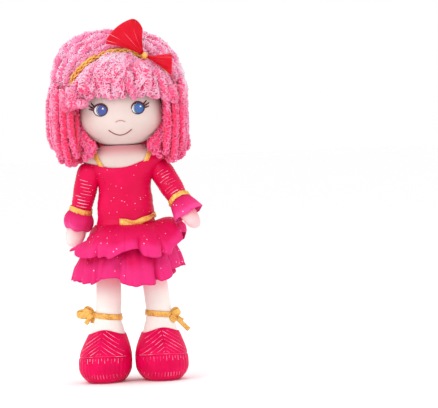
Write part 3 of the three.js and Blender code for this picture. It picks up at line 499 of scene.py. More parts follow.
for name, side in SIDE.items():
    shape = np.array(fair(leaning(foot_hoops, name), 80))

    def shoe_wall(u, v):
        """The outside of the shoe, from its foot at v = 0 to the opening at v = 1, with a swelling toe."""
        bearing = 2 * math.pi * (u - 0.5)
        rim = 47.4 + 4.8 * max(0, math.cos(bearing)) ** 3 + 1.0 * ease(0.3, 1, -math.cos(bearing))
        z = 0.7 + (rim - 0.7) * v
        width, depth, x, y = (np.interp(z, shape[:, 0], shape[:, k]) for k in range(1, 5))
        out = Vector((math.sin(bearing), -math.cos(bearing), 0))
        seam = toe_seam(width * out.x)
        front = ease(1.9, 1.2, abs(bearing))
        toe = ease(3, 8, z) * ease(seam + 1, seam - 2, z) * front
        swell = 0.5 * toe * math.sin(math.pi * min(z / seam, 1)) + 0.35 * toe * math.cos(bearing * 34)
        swell -= 0.4 * math.exp(-(((z - seam) / 1.0) ** 2)) * front
        swell -= 0.8 + 3.8 * (max(0, 14 - z) / 14) ** 1.5
        return Vector((x + (width + swell) * out.x, y + (depth + swell) * out.y, z))

    bm = cut_cloth(128, 60, shoe_wall)
    sewn_closed(bm)
    bm.normal_update()
    shoe_tree = BVHTree.FromBMesh(bm)
    walls = {"upper": bm, "toe": bm.copy()}
    for part, wall in walls.items():
        for v in wall.verts:
            p = v.co / MM
            v.tag = p.z < toe_seam(p.x) - 0.2 and p.y < -8
        toe_faces = {face for face in wall.faces if all(v.tag for v in face.verts)}
        drop = [face for face in wall.faces if (face in toe_faces) == (part == "upper")]
        bmesh.ops.delete(wall, geom=drop, context="FACES")
        bmesh.ops.recalc_face_normals(wall, faces=wall.faces)
        bmesh.ops.transform(wall, matrix=standing(name), verts=wall.verts)
        piece = as_piece(f"shoe_{part}_{name}_satin", wall, satin_shoe)
        thickened(piece, SHOE_WALL, -1)
        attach(piece, "leg_" + name)
        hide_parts(f"shoe_{part}_{name}")

    bm = skinned(fair(leaning(sole_hoops, name), 26), 80)
    bmesh.ops.transform(bm, matrix=standing(name), verts=bm.verts)
    sole = as_piece(f"shoe_sole_{name}_satin", bm, rolled_edge)
    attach(sole, "leg_" + name)
    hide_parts(f"shoe_sole_{name}")

    def on_shoe(x, z):
        """A point just proud of the shoe's front, in the leg's own frame."""
        hit = shoe_tree.ray_cast(Vector((x, -90, z)) * MM, Vector((0, 1, 0)))
        return None if hit[0] is None else (hit[0] + hit[1] * 0.15 * MM) / MM

    middle = side * SPLAY[name] * 0.8
    lines = []
    for row in range(8):
        peak = 53 - 3.7 * row
        for hand in (-1, 1):
            reach = 22 if row > 1 else 17
            chevron = [(middle + hand * x, peak - 0.66 * x) for x in np.linspace(0.8, reach, 26)]
            shown = [(x, z) for x, z in chevron if toe_seam(x) + 1.5 < z < 47.2 + 3.6 * math.cos(x / 12)]
            lines.append([on_shoe(x, z) for x, z in shown])
    for x in np.arange(-21, 21.5, 3.0):
        top = toe_seam(x) - 1.2
        lines.append([on_shoe(middle + x, z) for z in np.linspace(top, top - 3.6 - 1.2 * math.cos(x), 4)])
        lines.append([on_shoe(middle + x + 1, z) for z in np.linspace(9.5, 6 - 0.8 * math.cos(x * 2), 4)])
    lines.append([on_shoe(middle + x, toe_seam(middle + x) + 0.5) for x in np.linspace(-23.5, 23.5, 40)])
    kept = []
    for path in lines:
        path = [point for point in path if point is not None and point.y < -8 and point.z < SHOE_TOP]
        if len(path) > 2:
            kept.append([placed(standing(name), point) for point in path])
    thread(f"shoe_{name}_stitches", kept, 0.18, silver_pink, "leg_" + name)

    edge = []
    for turn in np.linspace(0, 2 * math.pi, 73):
        x = shape[0, 3] + 17.2 * math.cos(turn)
        y = -11 + 23.4 * math.sin(turn)
        edge.append(placed(standing(name), (x, y, 1.5)))
    thread(f"shoe_{name}_piping", [edge], 1.0, rolled_edge, "leg_" + name, sides=2)

# Gold ribbons: woven metallic ribbon 5 to 6 mm wide, tied round each ankle with a small bow outside it.
# The same ribbon is used for the waist, the straps and the bands of the sleeves.
# The gold is mottled from dark brown to bright yellow: painted sparkle and sheen on the metallic weave.
gold = Finish("gold_ribbon", 0.36, Metallic=0.35, Specular_IOR_Level=0.5)
fleck = gold.lay("TexVoronoi", Scale=900).outputs["Distance"]
painted_sheen = gold.lay("TexNoise", Scale=110, Detail=4).outputs["Fac"]
painted_sparkle = gold.add("Math", fleck, 0.45, painted_sheen, operation="MULTIPLY_ADD").outputs["Value"]
gold.colour(gold.tones(painted_sparkle, (0.3, (0.34, 0.10, 0.010)), (0.52, (0.62, 0.24, 0.03)), (0.8, (0.90, 0.52, 0.12))))
emboss(gold, fleck, 0.5, 0.5)


def ribbon(name, bm, body, finish, slot, *nodes, thickness=0.5):
    """A strip of ribbon with its ends joined where they meet, given its thickness."""
    sewn_closed(bm)
    piece = as_piece(name, bm, finish)
    thickened(piece, thickness, 0)
    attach(piece, body)
    if nodes:
        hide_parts(*nodes)
    return piece


def around(turn, radius, z, wrinkle=0.0):
    """A point round a limb's own axis."""
    r = radius + wrinkle
    return Vector((r * math.cos(turn), r * math.sin(turn), z))


def add_part(bm, other, finish_index):
    """Puts another mesh into this one, in one of its finishes."""
    for face in other.faces:
        face.material_index = finish_index
    mesh = bpy.data.meshes.new("part")
    other.to_mesh(mesh)
    other.free()
    bm.from_mesh(mesh)
    bpy.data.meshes.remove(mesh)


ANKLE_HEIGHT = 66
for name, side in SIDE.items():
    lean = leg_shift(name, ANKLE_HEIGHT)
    outward, forward, knot_back = (13.9, 0, 0.8) if name == "right" else (9.4, 9.8, 1.6)

    def ankle(u, v):
        """The ribbon round the ankle, in small creases."""
        turn = 2 * math.pi * u
        crease = 0.25 * math.sin(9 * turn + 4 * v)
        p = around(turn, 13.7, 62.4 + 5.7 * v - 1.6 * math.cos(turn), crease + 0.35 * math.sin(math.pi * v))
        return placed(standing(name), p + Vector((lean, 0, 0)))

    ribbon(f"ankle_ribbon_{name}_gold", cut_cloth(72, 8, ankle), "leg_" + name, gold, "gold_ribbon",
           f"ankle_ribbon_{name}")

    def outside(x, y, z):
        """A point of the bow, measured outwards from the ribbon's outer side."""
        height = 65.2 - 0.115 * side * outward + z
        return placed(standing(name), (lean + side * (outward + x), y, height))

    tied = []
    loops = ((17, 6, 4), (11, 5, 34)) if name == "right" else ((9, 5, 30), (8, 5, -62))
    for length, girth, tilt in loops:
        lift = math.radians(tilt)

        def loop_of(u, v, length=length, girth=girth, lift=lift):
            """A loop of the bow, out from the knot and back to it."""
            turn = 2 * math.pi * u
            along = length * 0.5 * (1 - math.cos(turn))
            swell = girth * 0.55 * math.sin(turn) * math.sin(turn / 2) ** 0.5
            across = (v - 0.5) * (2.6 + 4.6 * abs(math.sin(turn)) ** 0.8) + 0.45 * swell
            x = 1.5 + along * math.cos(lift) - across * math.sin(lift)
            z = along * math.sin(lift) + across * math.cos(lift)
            return outside(x, 0.8 * swell - forward, z)

        tied.append(cut_cloth(28, 5, loop_of))
    tails = ((11, -48, -1.8), (8, -80, 2.8)) if name == "right" else ((24, -41, -1.2), (15, -28, 4.4))
    for length, tilt, back in tails:
        fall = math.radians(tilt)

        def tail_of(u, v, length=length, fall=fall, back=back):
            """A free end of the bow, in a slight wave."""
            along = length * u
            across = (v - 0.5) * 5.0
            wave = 0.9 * math.sin(5 * u)
            x = 1.5 + along * math.cos(fall) - across * math.sin(fall) * 0.9
            z = along * math.sin(fall) + across * math.cos(fall) * 0.9 + wave
            return outside(x, back - 2.2 * u, z)

        tied.append(cut_cloth(18, 4, tail_of))
    bm = bmesh.new()
    for strip in tied:
        add_part(bm, strip, 0)
    ribbon(f"ankle_bow_{name}_gold", bm, "leg_" + name, gold, "gold_ribbon", f"ankle_bow_{name}")

    bm = bmesh.new()
    bmesh.ops.create_uvsphere(bm, u_segments=20, v_segments=14, radius=2.6 * MM)
    bmesh.ops.scale(bm, vec=(0.8, 1.0, 1.15), verts=bm.verts)
    for v in bm.verts:
        v.co *= 1 + 0.08 * math.cos(7 * math.atan2(v.co.z, v.co.y))
    bmesh.ops.translate(bm, vec=outside(1.2, knot_back, 0) * MM, verts=bm.verts)
    knot = as_piece(f"ankle_knot_{name}_gold", bm, gold)
    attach(knot, "leg_" + name)

# Arms: slim stuffed tubes of the skin knit with a flat rounded mitten hand. The top of each is a ball that
# turns in the sleeve, gathered and sewn to the torso through the armhole.
SHOULDER_OUT = {"right": 35.6, "left": 38.1}
SHOULDER_HEIGHT = 206.2
LIFT = {"right": math.radians(15), "left": math.radians(27)}
SWING = {"right": math.radians(-8), "left": math.radians(30)}
TWIST = {"right": 0.0, "left": math.radians(48)}
HAND = {"right": 1.13, "left": 0.96}
PALM = {"right": 1.0, "left": 1.1}
HAND_PINK_TINT = {"right": 0.2, "left": 0.55}
arm_hoops = [
    (-71.4, 1.2, 1.0), (-70.8, 4.2, 3.0), (-67.4, 7.2, 5.4), (-61.5, 9.2, 6.7), (-55, 9.8, 7.3), (-48, 8.6, 7.8),
    (-40, 8.2, 8.2), (-19, 9.8, 9.8), (0, 10.1, 10.1), (6.4, 7.9, 7.9), (9.6, 3.4, 3.4), (10.1, 0.8, 0.8),
]
WRIST = -48


def hanging(name):
    """Places an arm's own frame, in which it points straight down from the shoulder."""
    pivot = Matrix.Translation((SIDE[name] * SHOULDER_OUT[name] * MM, 0, SHOULDER_HEIGHT * MM))
    raised = Matrix.Rotation(-SWING[name], 4, "X") @ Matrix.Rotation(-SIDE[name] * LIFT[name], 4, "Y")
    return pivot @ raised @ Matrix.Rotation(TWIST[name], 4, "Z")


for name, side in SIDE.items():
    own_hoops = [
        (z, w, d) if z > WRIST else (WRIST + (z - WRIST) * HAND[name], w * PALM[name], d) for z, w, d in arm_hoops
    ]
    bm = skinned(fair(own_hoops, 80), 48)
    lumpy(bm, 0.35, 9)
    bmesh.ops.transform(bm, matrix=hanging(name), verts=bm.verts)
    arm = as_piece(f"arm_{name}_cloth", bm, brightened_knit)
    reach = hanging(name).inverted()

    def sewn_edge(p):
        """The parts of the arm that stay as sewn: all above the wrist, and the seam round the hand."""
        q = placed(reach, p)
        return q.z > -42 or abs(q.y) < 0.8

    stuffed(arm, sewn_edge, 0.8)
    # Each hand takes an even pink tint, the left more, and painted pink shade towards the wrist under the tulle cuff.
    paint_tint_and_shade(arm, lambda p: HAND_PINK_TINT[name] + 0.4 * ease(-66, -52, (reach @ (p * MM)).z / MM))
    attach(arm, "arm_" + name)
    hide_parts(f"arm_skin_{name}")

    rim = [(w + 0.15, z) for z, w, *_ in fair(own_hoops, 80) if z < -44]
    edge = [Vector((w, 0, z)) for w, z in reversed(rim)] + [Vector((-w, 0, z)) for w, z in rim]
    edge = [placed(hanging(name), point) for point in edge]
    thread(f"hand_{name}_seam", [edge], 0.26, pale_thread, "arm_" + name)

    # The gathered end of the arm: a small rosette of pleats, stitched flat through the armhole.
    bm = cut_cloth(64, 6, lambda u, v: (
        side * (24.75 + 0.9 * (1 - v) ** 0.6 + 0.18 * math.cos(2 * math.pi * u * 16) * v),
        6.4 * v * math.cos(2 * math.pi * u),
        SHOULDER_HEIGHT + 6.4 * v * math.sin(2 * math.pi * u),
    ))
    ribbon(f"shoulder_gathers_{name}", bm, "shoulder_" + name, pale_knit, "skin_fabric",
           f"shoulder_seam_{name}", thickness=0.3)


# Bodice: stretch satin with fine metallic lines and scattered glitter, cut in one with a scooped neckline
# and sewn to the tutu at the waist. It blouses a little over the waist ribbon on the doll's right.
def glitter(finish, ground, scale, rarity, flake, colour):
    """Scatters flakes over a ground: the rarest cells of a pattern, lit near their middles."""
    cells = finish.lay("TexVoronoi", Scale=scale).outputs
    draw = finish.add("SeparateColor", cells["Color"]).outputs["Red"]
    chosen = finish.add("MapRange", draw, From_Min=rarity, From_Max=rarity + 0.01).outputs["Result"]
    near = finish.add("MapRange", cells["Distance"], From_Min=flake[0], From_Max=flake[1]).outputs["Result"]
    spark = finish.add("Math", chosen, near, operation="MULTIPLY").outputs["Value"]
    finish.colour(overlaid(finish, spark, ground, colour))
    finish.link(spark, finish.shader.inputs["Metallic"])


stretch_satin = Finish("dress_satin", 0.42, Specular_IOR_Level=0.12)
cloud = stretch_satin.lay("TexNoise", Scale=45, Detail=3)
crimson = stretch_satin.tones(cloud.outputs["Fac"], (0.3, (0.64, 0.0015, 0.055)), (0.7, (0.76, 0.003, 0.085)))
glitter(stretch_satin, crimson, 380, 0.86, (0.19, 0.13), (1.0, 0.55, 0.68))
along = stretch_satin.add("Attribute", attribute_name="along")
spaced = stretch_satin.add("CombineXYZ", along.outputs["Fac"])
lines = stretch_satin.add("TexWave", spaced.outputs["Vector"], bands_direction="X", Scale=95, Distortion=0.4)
emboss(stretch_satin, lines.outputs["Fac"], 0.2, 0.4)


def ruled(piece, distance):
    """Writes how far along the cloth each point lies, which its metallic lines follow."""
    rule = piece.data.attributes.new("along", "FLOAT", "POINT")
    rule.data.foreach_set("value", [distance(v.co) for v in piece.data.vertices])


BODICE_HEM = 152.5
bodice_hoops = [
    (152.5, 27.4, 21), (155, 28.9, 23), (158, 29.2, 23), (162, 28.2, 21.8), (173, 28.2, 21.9), (184, 27, 20.8),
    (192, 26.2, 20), (199, 27.2, 19.8), (205, 30.5, 19.7), (211, 34.4, 19.6), (216, 38, 19.4), (219.5, 40, 18.9),
    (222, 40.3, 18.4), (226, 37.4, 18.2), (230, 31, 17.9),
]
fitted = np.array(fair(bodice_hoops, 90))


def bodice_at(turn, z):
    """A point of the fitted bodice, before it blouses and creases."""
    return Vector((
        np.interp(z, fitted[:, 0], fitted[:, 1]) * math.cos(turn),
        np.interp(z, fitted[:, 0], fitted[:, 2]) * math.sin(turn),
        z,
    ))


def neckline(x, behind):
    """The neckline's height: level to the doll's right, and rising over the left shoulder."""
    return 213.4 + 0.085 * x + (0.0042 if x < 0 else 0.0098) * x * x + (3 if behind else 0)


def bodice_cloth(u, v):
    """The bodice round the torso, from its hem at v = 0 to the neckline at v = 1, where it lies on the skin."""
    turn = 2 * math.pi * u
    top = 228.0
    for _ in range(8):
        top = 0.5 * (top + min(229, neckline(bodice_at(turn, top).x, math.sin(turn) > 0)))
    p = bodice_at(turn, BODICE_HEM + (top - BODICE_HEM) * v)
    out = Vector((p.x, p.y, 0)).normalized()
    blouse = ease(0, -18, p.x + 4) * ease(22, 0, p.y) * (1 - 0.8 * ease(-16, -26, p.x))
    droop = math.exp(-(((p.z - 158.5) / 4.5) ** 2))
    crease = 0.12 * math.sin(p.z * 1.1 + 3 * noise.noise(p / 16)) * ease(22, 29, abs(p.x) + 6)
    tug = 0.3 * math.sin(p.z / 2.1 + p.x / 9) * math.exp(-(((p.z - 178) / 16) ** 2)) * ease(4, 24, p.x)
    tuck = 1.5 * math.exp(-(((p.x + 22) / 4) ** 2) - ((p.z - 200 + 0.5 * (p.x + 22)) / 6) ** 2) * (p.y < 0)
    settle = (crease + tug + 0.5 * noise.noise(p / 12)) * ease(212, 204, p.z) - tuck
    p += out * (2.4 * droop * blouse + settle)
    p.z -= 1.6 * droop * blouse
    close, normal, _, apart = torso_tree.find_nearest(p * MM)
    if apart < 5 * MM:
        p = p.lerp((close + normal * 1.1 * MM) / MM, 0.9 * ease(0.9, 1.0, v))
    return p


bm = cut_cloth(120, 72, bodice_cloth)
sewn_closed(bm)
bodice = as_piece("bodice_satin", bm, stretch_satin)
ruled(bodice, lambda place: place.z)
thickened(bodice, 0.9, -1)
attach(bodice, "torso")
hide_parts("bodice")

# Straps: two lengths of the gold ribbon, sewn inside the neckline at the front. They lie on the skin, go over
# the shoulders and are sewn to the bodice again at the back.
for name, side in SIDE.items():
    foot_height = 213 if name == "right" else 217

    def strap(u, v):
        """The ribbon drawn onto the torso, from the front at u = 0 over the shoulder to the back."""
        turn = math.pi * u
        x = side * (22 + 9.5 * math.sin(turn) ** 1.3) + side * (v - 0.5) * 6.0 * (0.75 + 0.25 * math.sin(turn))
        start = Vector((x, -34 * math.cos(turn), foot_height - 3 + 30 * math.sin(turn) + (v - 0.5) * 1.5))
        core = Vector((x * 0.8, 0, 212))
        hit, normal, _, _ = torso_tree.ray_cast(start * MM, (core - start).normalized())
        return (hit + normal * (0.9 + 0.15 * math.sin(12 * u)) * MM) / MM

    ribbon(f"strap_{name}_gold", cut_cloth(40, 4, strap), "torso", gold, "gold_ribbon", f"strap_{name}")


# Waist ribbon: a wide gold ribbon over the seam of bodice and tutu. It sags at the front and rises to the
# doll's left, and the bodice hides it on the right.
def waistband(u, v):
    """The ribbon round the waist, sunk into the bodice where that hides it."""
    turn = 2 * math.pi * u
    x, y = math.cos(turn), math.sin(turn)
    sag = 160.2 - 3.0 * math.exp(-(((30 * x - 9) / 13) ** 2)) * (y < 0) + 4.2 * ease(0.2, 1, x)
    twist = 0.5 * math.sin(7 * turn + 5 * v) + 0.3 * math.sin(17 * turn)
    twist += -2.6 + 4.4 * ease(-8, -3, 30 * x) - 1.8 * ease(0.7, 0.95, x)
    wide = 6.8 - 2.2 * ease(0.35, 0.85, x)
    return Vector((x * (29.6 + twist), y * (23.2 + twist), sag + wide * (v - 0.5) + 0.4 * math.sin(11 * turn)))


ribbon("waist_ribbon_gold", cut_cloth(120, 8, waistband), "torso", gold, "gold_ribbon", "waist_ribbon")


# Sleeves: tubes of the dress satin drawn over the arms in fine cross gathers, with a gold band at the wrist
# and a ruffle of glittered tulle gathered under the band.
def tulle(name, root, middle, edge):
    """Fine net with glitter glued on it, painted paler towards its hem as light showing through where fewer layers lie
    behind it.
    """
    net = Finish(name, 0.55, Specular_IOR_Level=0.12)
    span = net.add("SeparateXYZ", net.add("UVMap").outputs["UV"])
    cloud = net.lay("TexNoise", Scale=50, Detail=4)
    shift = net.add("Math", cloud.outputs["Fac"], 0.35, span.outputs["Y"], operation="MULTIPLY_ADD")
    hem = net.tones(shift.outputs["Value"], (0.3, root), (0.83, middle), (1.0, edge))
    glitter(net, hem, 330, 0.90, (0.22, 0.15), (1.0, 0.62, 0.74))
    holes = net.lay("TexVoronoi", Scale=1500, feature="DISTANCE_TO_EDGE")
    emboss(net, holes.outputs["Distance"], 0.25, 0.3)
    return net


glitter_tulle = tulle("glitter_tulle", (0.63, 0.0015, 0.06), (0.71, 0.0045, 0.098), (0.78, 0.024, 0.185))
cuff_tulle = tulle("cuff_tulle", (0.66, 0.010, 0.11), (0.74, 0.030, 0.19), (0.80, 0.06, 0.27))

sleeve_hoops = [
    (-38.2, 9.9, 9.9), (-33, 10.1, 10.1), (-19, 11.6, 11.6), (-6, 11.9, 11.9), (1, 11.9, 11.9),
    (7, 10.8, 10.8), (10.8, 7.6, 7.6), (12.4, 1.5, 1.5),
]
GATHER_PITCH = 3.3
for name in SIDE:
    place = hanging(name)
    bm = skinned(fair(sleeve_hoops, 90), 64, closed=False)
    bmesh.ops.holes_fill(bm, edges=[e for e in bm.edges if e.is_boundary and e.verts[0].co.z > 0], sides=64)
    for v in bm.verts:
        p = v.co / MM
        turn = math.atan2(p.y, p.x)
        out = Vector((p.x, p.y, 0))
        if out.length > 2:
            gather = 0.2 * math.sin(2 * math.pi * p.z / GATHER_PITCH + 1.3 * math.sin(2 * turn)) * ease(4, -6, p.z)
            soft = 0.4 * noise.noise(p / 8)
            v.co += out.normalized() * (gather + soft) * MM
    bmesh.ops.recalc_face_normals(bm, faces=bm.faces)
    bmesh.ops.transform(bm, matrix=place, verts=bm.verts)
    sleeve = as_piece(f"sleeve_{name}_satin", bm, stretch_satin)
    back_to = place.inverted()
    ruled(sleeve, lambda point: (back_to @ point).z)
    thickened(sleeve, 0.8, -1)
    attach(sleeve, "arm_" + name)
    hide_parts(f"sleeve_{name}")

    # Short lines of the metallic thread, laid across the front of the sleeve only; the thread's pale patches are
    # painted glints.
    glints = []
    facing = (back_to.to_3x3() @ Vector((0, -1, 0.1))).normalized()
    heading = math.atan2(facing.y, facing.x)
    dice = random.Random(5 if name == "right" else 9)
    for row in range(9):
        z = -30.5 + GATHER_PITCH * row
        middle = heading + dice.uniform(-0.25, 0.25)
        half = dice.uniform(0.3, 0.55)
        radius = 10.4 + 1.5 * ease(-33, -19, z)
        path = [around(turn, radius + 0.35, z) for turn in np.linspace(middle - half, middle + half, 9)]
        glints.append([placed(place, point) for point in path])
    thread(f"sleeve_{name}_metallic_lines", glints, 0.38, silver_pink, "arm_" + name)

    def band(u, v):
        """The gold ribbon round the wrist, in small creases."""
        turn = 2 * math.pi * u
        crease = 0.3 * math.sin(8 * turn + 6 * v) + 0.2 * math.sin(19 * turn)
        p = around(turn, 11.1 + 0.35 * math.sin(math.pi * v), -38.3 + 5.2 * v + 0.5 * math.sin(2 * turn), crease)
        return placed(place, p)

    ribbon(f"sleeve_band_{name}_gold", cut_cloth(84, 8, band), "arm_" + name, gold, "gold_ribbon",
           f"sleeve_band_{name}")

    for layer, (stand, fall, phase) in enumerate(((0.0, 18.6, 0.4), (-1.0, 17.0, 1.5))):

        def ruffle(u, v, stand=stand, fall=fall, phase=phase):
            """Tulle from the band to its hem: puffed out on the right, belled and turned up on the left."""
            turn = 2 * math.pi * u
            sideways = math.sin(turn - heading) ** 2
            puffed = 3.9 * math.sin(math.pi * v) ** 0.8 + 0.5 * v
            belled = 6.4 * v**0.75 * (0.1 + 0.9 * sideways) - 1.2 * v * (1 - sideways)
            flare = puffed if name == "right" else belled
            fold = (1.1 * math.cos(4 * turn + phase) + 0.6 * math.cos(7 * turn + 2 * phase)) * v
            pucker = 0.35 * math.cos(40 * turn) * (1 - v) ** 2
            slant = (0.5 if name == "right" else 3.4) * math.cos(turn - heading) * v
            drop = -37.6 - (fall - 1.2) * v - slant + 0.7 * math.sin(5 * turn) * v
            palm = 1 / math.hypot(math.cos(turn) / (9.8 * PALM[name]), math.sin(turn) / 7.8)
            clear = (palm + 1.9 + 0.5 * stand) * ease(0.2, 0.75, v)
            p = around(turn, max(10.3 + stand + flare + fold + pucker, clear), drop)
            return placed(place, p)

        label = "outer" if layer == 0 else "inner"
        nodes = [f"sleeve_ruffle_{name}"] if layer == 0 else []
        flounce = ribbon(f"sleeve_ruffle_{name}_{label}", cut_cloth(168, 18, ruffle), "arm_" + name, cuff_tulle,
                         "tulle", *nodes, thickness=0.35)

# Tutu: two gathered tiers of glittered tulle, each of two layers, sewn round the waist. Every layer is made in
# a right and a left half.
HAND_BEARING = math.radians(181)
TIERS = {
    "upper": dict(over=True, top=156.5, length=31, reach=29, phase=0.3, power=0.8, press=15.5, sheet=0.037),
    "lower": dict(over=False, top=150, length=52, reach=24.6, phase=3.3, power=0.76, press=7.75, sheet=0.056),
}


def gap_at(turn, bearing, width):
    """How far a tier parts round a bearing, as a share."""
    return math.exp(-((math.remainder(turn - math.radians(bearing), 2 * math.pi) / width) ** 2))


def tier_point(tier, turn, v, inward):
    """A point of a tier at a bearing round the waist, from the gathers at v = 0 to the hem at v = 1."""
    upper = tier["over"]
    spread = math.sin(v * math.pi / 2) ** tier["power"] if upper else v ** tier["power"]
    press = math.exp(-(((turn - HAND_BEARING) / 0.73) ** 4))
    before_hand = ease(math.radians(179), math.radians(195), turn)
    press *= 1 - before_hand * ease(0.72, 1.0, v) if upper else ease(0.7, 0.3, v)
    wander = 0.16 * math.sin(2 * turn + 1) + 0.09 * math.sin(5 * turn + tier["phase"])
    main = math.cos(11 * (turn + wander) + tier["phase"] + 1.6 * inward)
    small = math.cos(19 * (turn - 0.6 * wander) + 2 * tier["phase"] + 1.1 * inward)
    lobe = (0.72 + 0.3 * math.sin(3 * turn + 2 * tier["phase"])) * main + 0.38 * small
    parting = gap_at(turn, 275, 0.16) if upper else gap_at(turn, 247, 0.2)
    lobe -= 1.3 * parting
    turn += 0.045 * v * math.sin(11 * (turn + wander) + tier["phase"])
    fold = 5.2 * lobe * v**1.1 * (1 - 0.75 * press)
    pucker = 0.8 * math.cos(56 * turn) * (1 - v) ** 2.5
    reach = max(0.4, tier["reach"] * spread + fold - tier["press"] * ease(0, 0.3, v) * press) + pucker
    flat = 2.0 + reach - 2.0 * inward * ease(0, 0.25, v)
    fall = tier["length"] * (0.35 * v + 0.65 * v * v)
    if upper:
        lift = 23 * ease(0.7, 1.05, math.cos(turn)) * v**0.7
    else:
        lift = 16 * ease(0.5, 1.05, math.cos(turn)) * v * (2 - v)
    lift += (8 if upper else 6) * ease(-0.7, -1, math.cos(turn)) * v * v
    lift += 9 * gap_at(turn, 138, 0.27) * v * (2 - v) if upper else 0
    scallop = 2.2 * lobe * v**1.5 - (7 if upper else 6) * parting * v**3
    p = Vector(((26.6 + flat) * math.cos(turn), (20.2 + flat) * math.sin(turn), tier["top"] - fall))
    crumple = 1.6 * noise.noise(p / 9 + Vector((0, 0, 5 * inward))) * ease(0.1, 0.6, v)
    p += Vector((math.cos(turn), math.sin(turn), 0)) * crumple
    p.z += lift - scallop + 1.5 * inward * v
    return p


for label, tier in TIERS.items():
    for layer in (0, 1):
        for name in SIDE:
            start = math.pi / 2 if name == "right" else -math.pi / 2

            def hang(u, v, tier=tier, layer=layer, start=start):
                """Half of a layer, round one side of the waist."""
                return tier_point(tier, start + math.pi * u, v, layer)

            bm = cut_cloth(180, 26, hang)
            bmesh.ops.recalc_face_normals(bm, faces=bm.faces)
            half = as_piece(f"tutu_{label}_{name}_{'outer' if layer == 0 else 'inner'}", bm, glitter_tulle)
            thickened(half, 0.35, 0)
            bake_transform(half)
            for v in half.data.vertices:
                p = v.co / MM
                low = ease(tier["top"] - 2, tier["top"] - 0.85 * tier["length"], p.z)
            if layer == 0:
                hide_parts(f"tutu_{label}_tier")

# Head: a stuffed ball of the skin knit, broad at the cheeks and flat under the chin. It is filled tight, gathered
# in at the neck and sewn to the torso there.
HEAD_HEIGHT = 263.1
HEAD_HALF = (42.1, 36.2)
CROWN_RISE = 58
CHIN_DROP = 30
JAW_FULLNESS = 1.9
bm = bmesh.new()
bmesh.ops.create_uvsphere(bm, u_segments=96, v_segments=72, radius=1)
for v in bm.verts:
    flat = v.co.xy.length
    if v.co.z < 0 and flat > 0:
        v.co.xy *= flat ** (2 / JAW_FULLNESS - 1)
        v.co.z = -abs(v.co.z) ** (2 / JAW_FULLNESS)
bmesh.ops.scale(bm, vec=(HEAD_HALF[0] * MM, HEAD_HALF[1] * MM, CHIN_DROP * MM), verts=bm.verts)
upper_half = [v for v in bm.verts if v.co.z > 0]
bmesh.ops.scale(bm, vec=(1, 1, CROWN_RISE / CHIN_DROP), verts=upper_half)
bmesh.ops.translate(bm, vec=(0, 0, HEAD_HEIGHT * MM), verts=bm.verts)
lumpy(bm, 0.25, 22)
head = as_piece("head_cloth", bm, pale_knit)
stuffed(head, lambda p: p.z > 312 or p.z < 237, 0.6)
bm = bmesh.new()
bm.from_mesh(head.data)
head_tree = BVHTree.FromBMesh(bm)
bm.free()
paint_tint_and_shade(head, lambda p: 0.02)
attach(head, "head")
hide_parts("head_skin")


# Face: embroidery on the head's knit, in satin stitch for the eyes and in stem stitch for the outlines,
# lashes, nose and smile. The threads stand half a millimetre proud.
def embroidery(name, dark, light):
    """Stranded thread laid in close parallel stitches."""
    floss = Finish(name, 0.45)
    stitches = floss.lay("TexWave", bands_direction="X", Scale=560, Distortion=0.8).outputs["Fac"]
    floss.colour(floss.tones(stitches, (0.15, dark), (0.85, light)))
    emboss(floss, stitches, 0.5, 0.3)
    return floss


maroon = embroidery("maroon_thread", (0.045, 0.004, 0.008), (0.10, 0.012, 0.02))
white = embroidery("white_thread", (0.86, 0.86, 0.88), (0.98, 0.98, 1.0))
violet_blue = embroidery("violet_blue_thread", (0.035, 0.055, 0.25), (0.075, 0.12, 0.42))
clear_blue = embroidery("clear_blue_thread", (0.022, 0.085, 0.30), (0.05, 0.19, 0.52))
rose = embroidery("rose_thread", (0.50, 0.16, 0.17), (0.62, 0.22, 0.24))
dark_rose = embroidery("dark_rose_thread", (0.24, 0.05, 0.06), (0.36, 0.08, 0.10))


def on_face(x, z, proud=0.0):
    """A point of the face straight behind a place seen from the front, standing proud of the knit."""
    hit, normal, _, _ = head_tree.ray_cast(Vector((x, -120, z)) * MM, Vector((0, 1, 0)))
    return (hit + normal * proud * MM) / MM


def satin_patch(name, outline, height, finish):
    """A padded patch of satin stitch inside an outline (x, z), domed in its middle."""
    bm = bmesh.new()
    bmesh.ops.create_circle(bm, cap_ends=True, cap_tris=True, segments=len(outline), radius=1)
    spokes = [e for e in bm.edges if not e.is_boundary]
    bmesh.ops.subdivide_edges(bm, edges=spokes, cuts=5)
    middle = np.mean(outline, axis=0)
    for v in bm.verts:
        share = min(v.co.xy.length, 1)
        turn = math.atan2(v.co.y, v.co.x) % (2 * math.pi)
        place = turn / (2 * math.pi) * len(outline)
        a, b = np.array(outline[int(place) % len(outline)]), np.array(outline[(int(place) + 1) % len(outline)])
        rim = a + (b - a) * (place - int(place))
        x, z = middle + (rim - middle) * share
        v.co = on_face(x, z, height * math.sqrt(max(0, 1 - share**2.6)) - 0.05) * MM
    bmesh.ops.recalc_face_normals(bm, faces=bm.faces)
    if bm.faces[0].normal.y > 0:
        bmesh.ops.reverse_faces(bm, faces=bm.faces)
    patch = as_piece(name, bm, finish)
    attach(patch, "head")


def oval(x, z, width, height, steps=40):
    """The outline of an oval, as places seen from the front."""
    turns = [2 * math.pi * i / steps for i in range(steps)]
    return [(x + width / 2 * math.cos(turn), z + height / 2 * math.sin(turn)) for turn in turns]


def on_rim(shape, turn, spare, proud, weight):
    """A point of thread on the rim of an oval, a little outside it, with its share of the thread's radius."""
    x, z, width, height = shape
    across, up = (width / 2 + spare) * math.cos(turn), (height / 2 + spare) * math.sin(turn)
    return (*on_face(x + across, z + up, proud), weight)


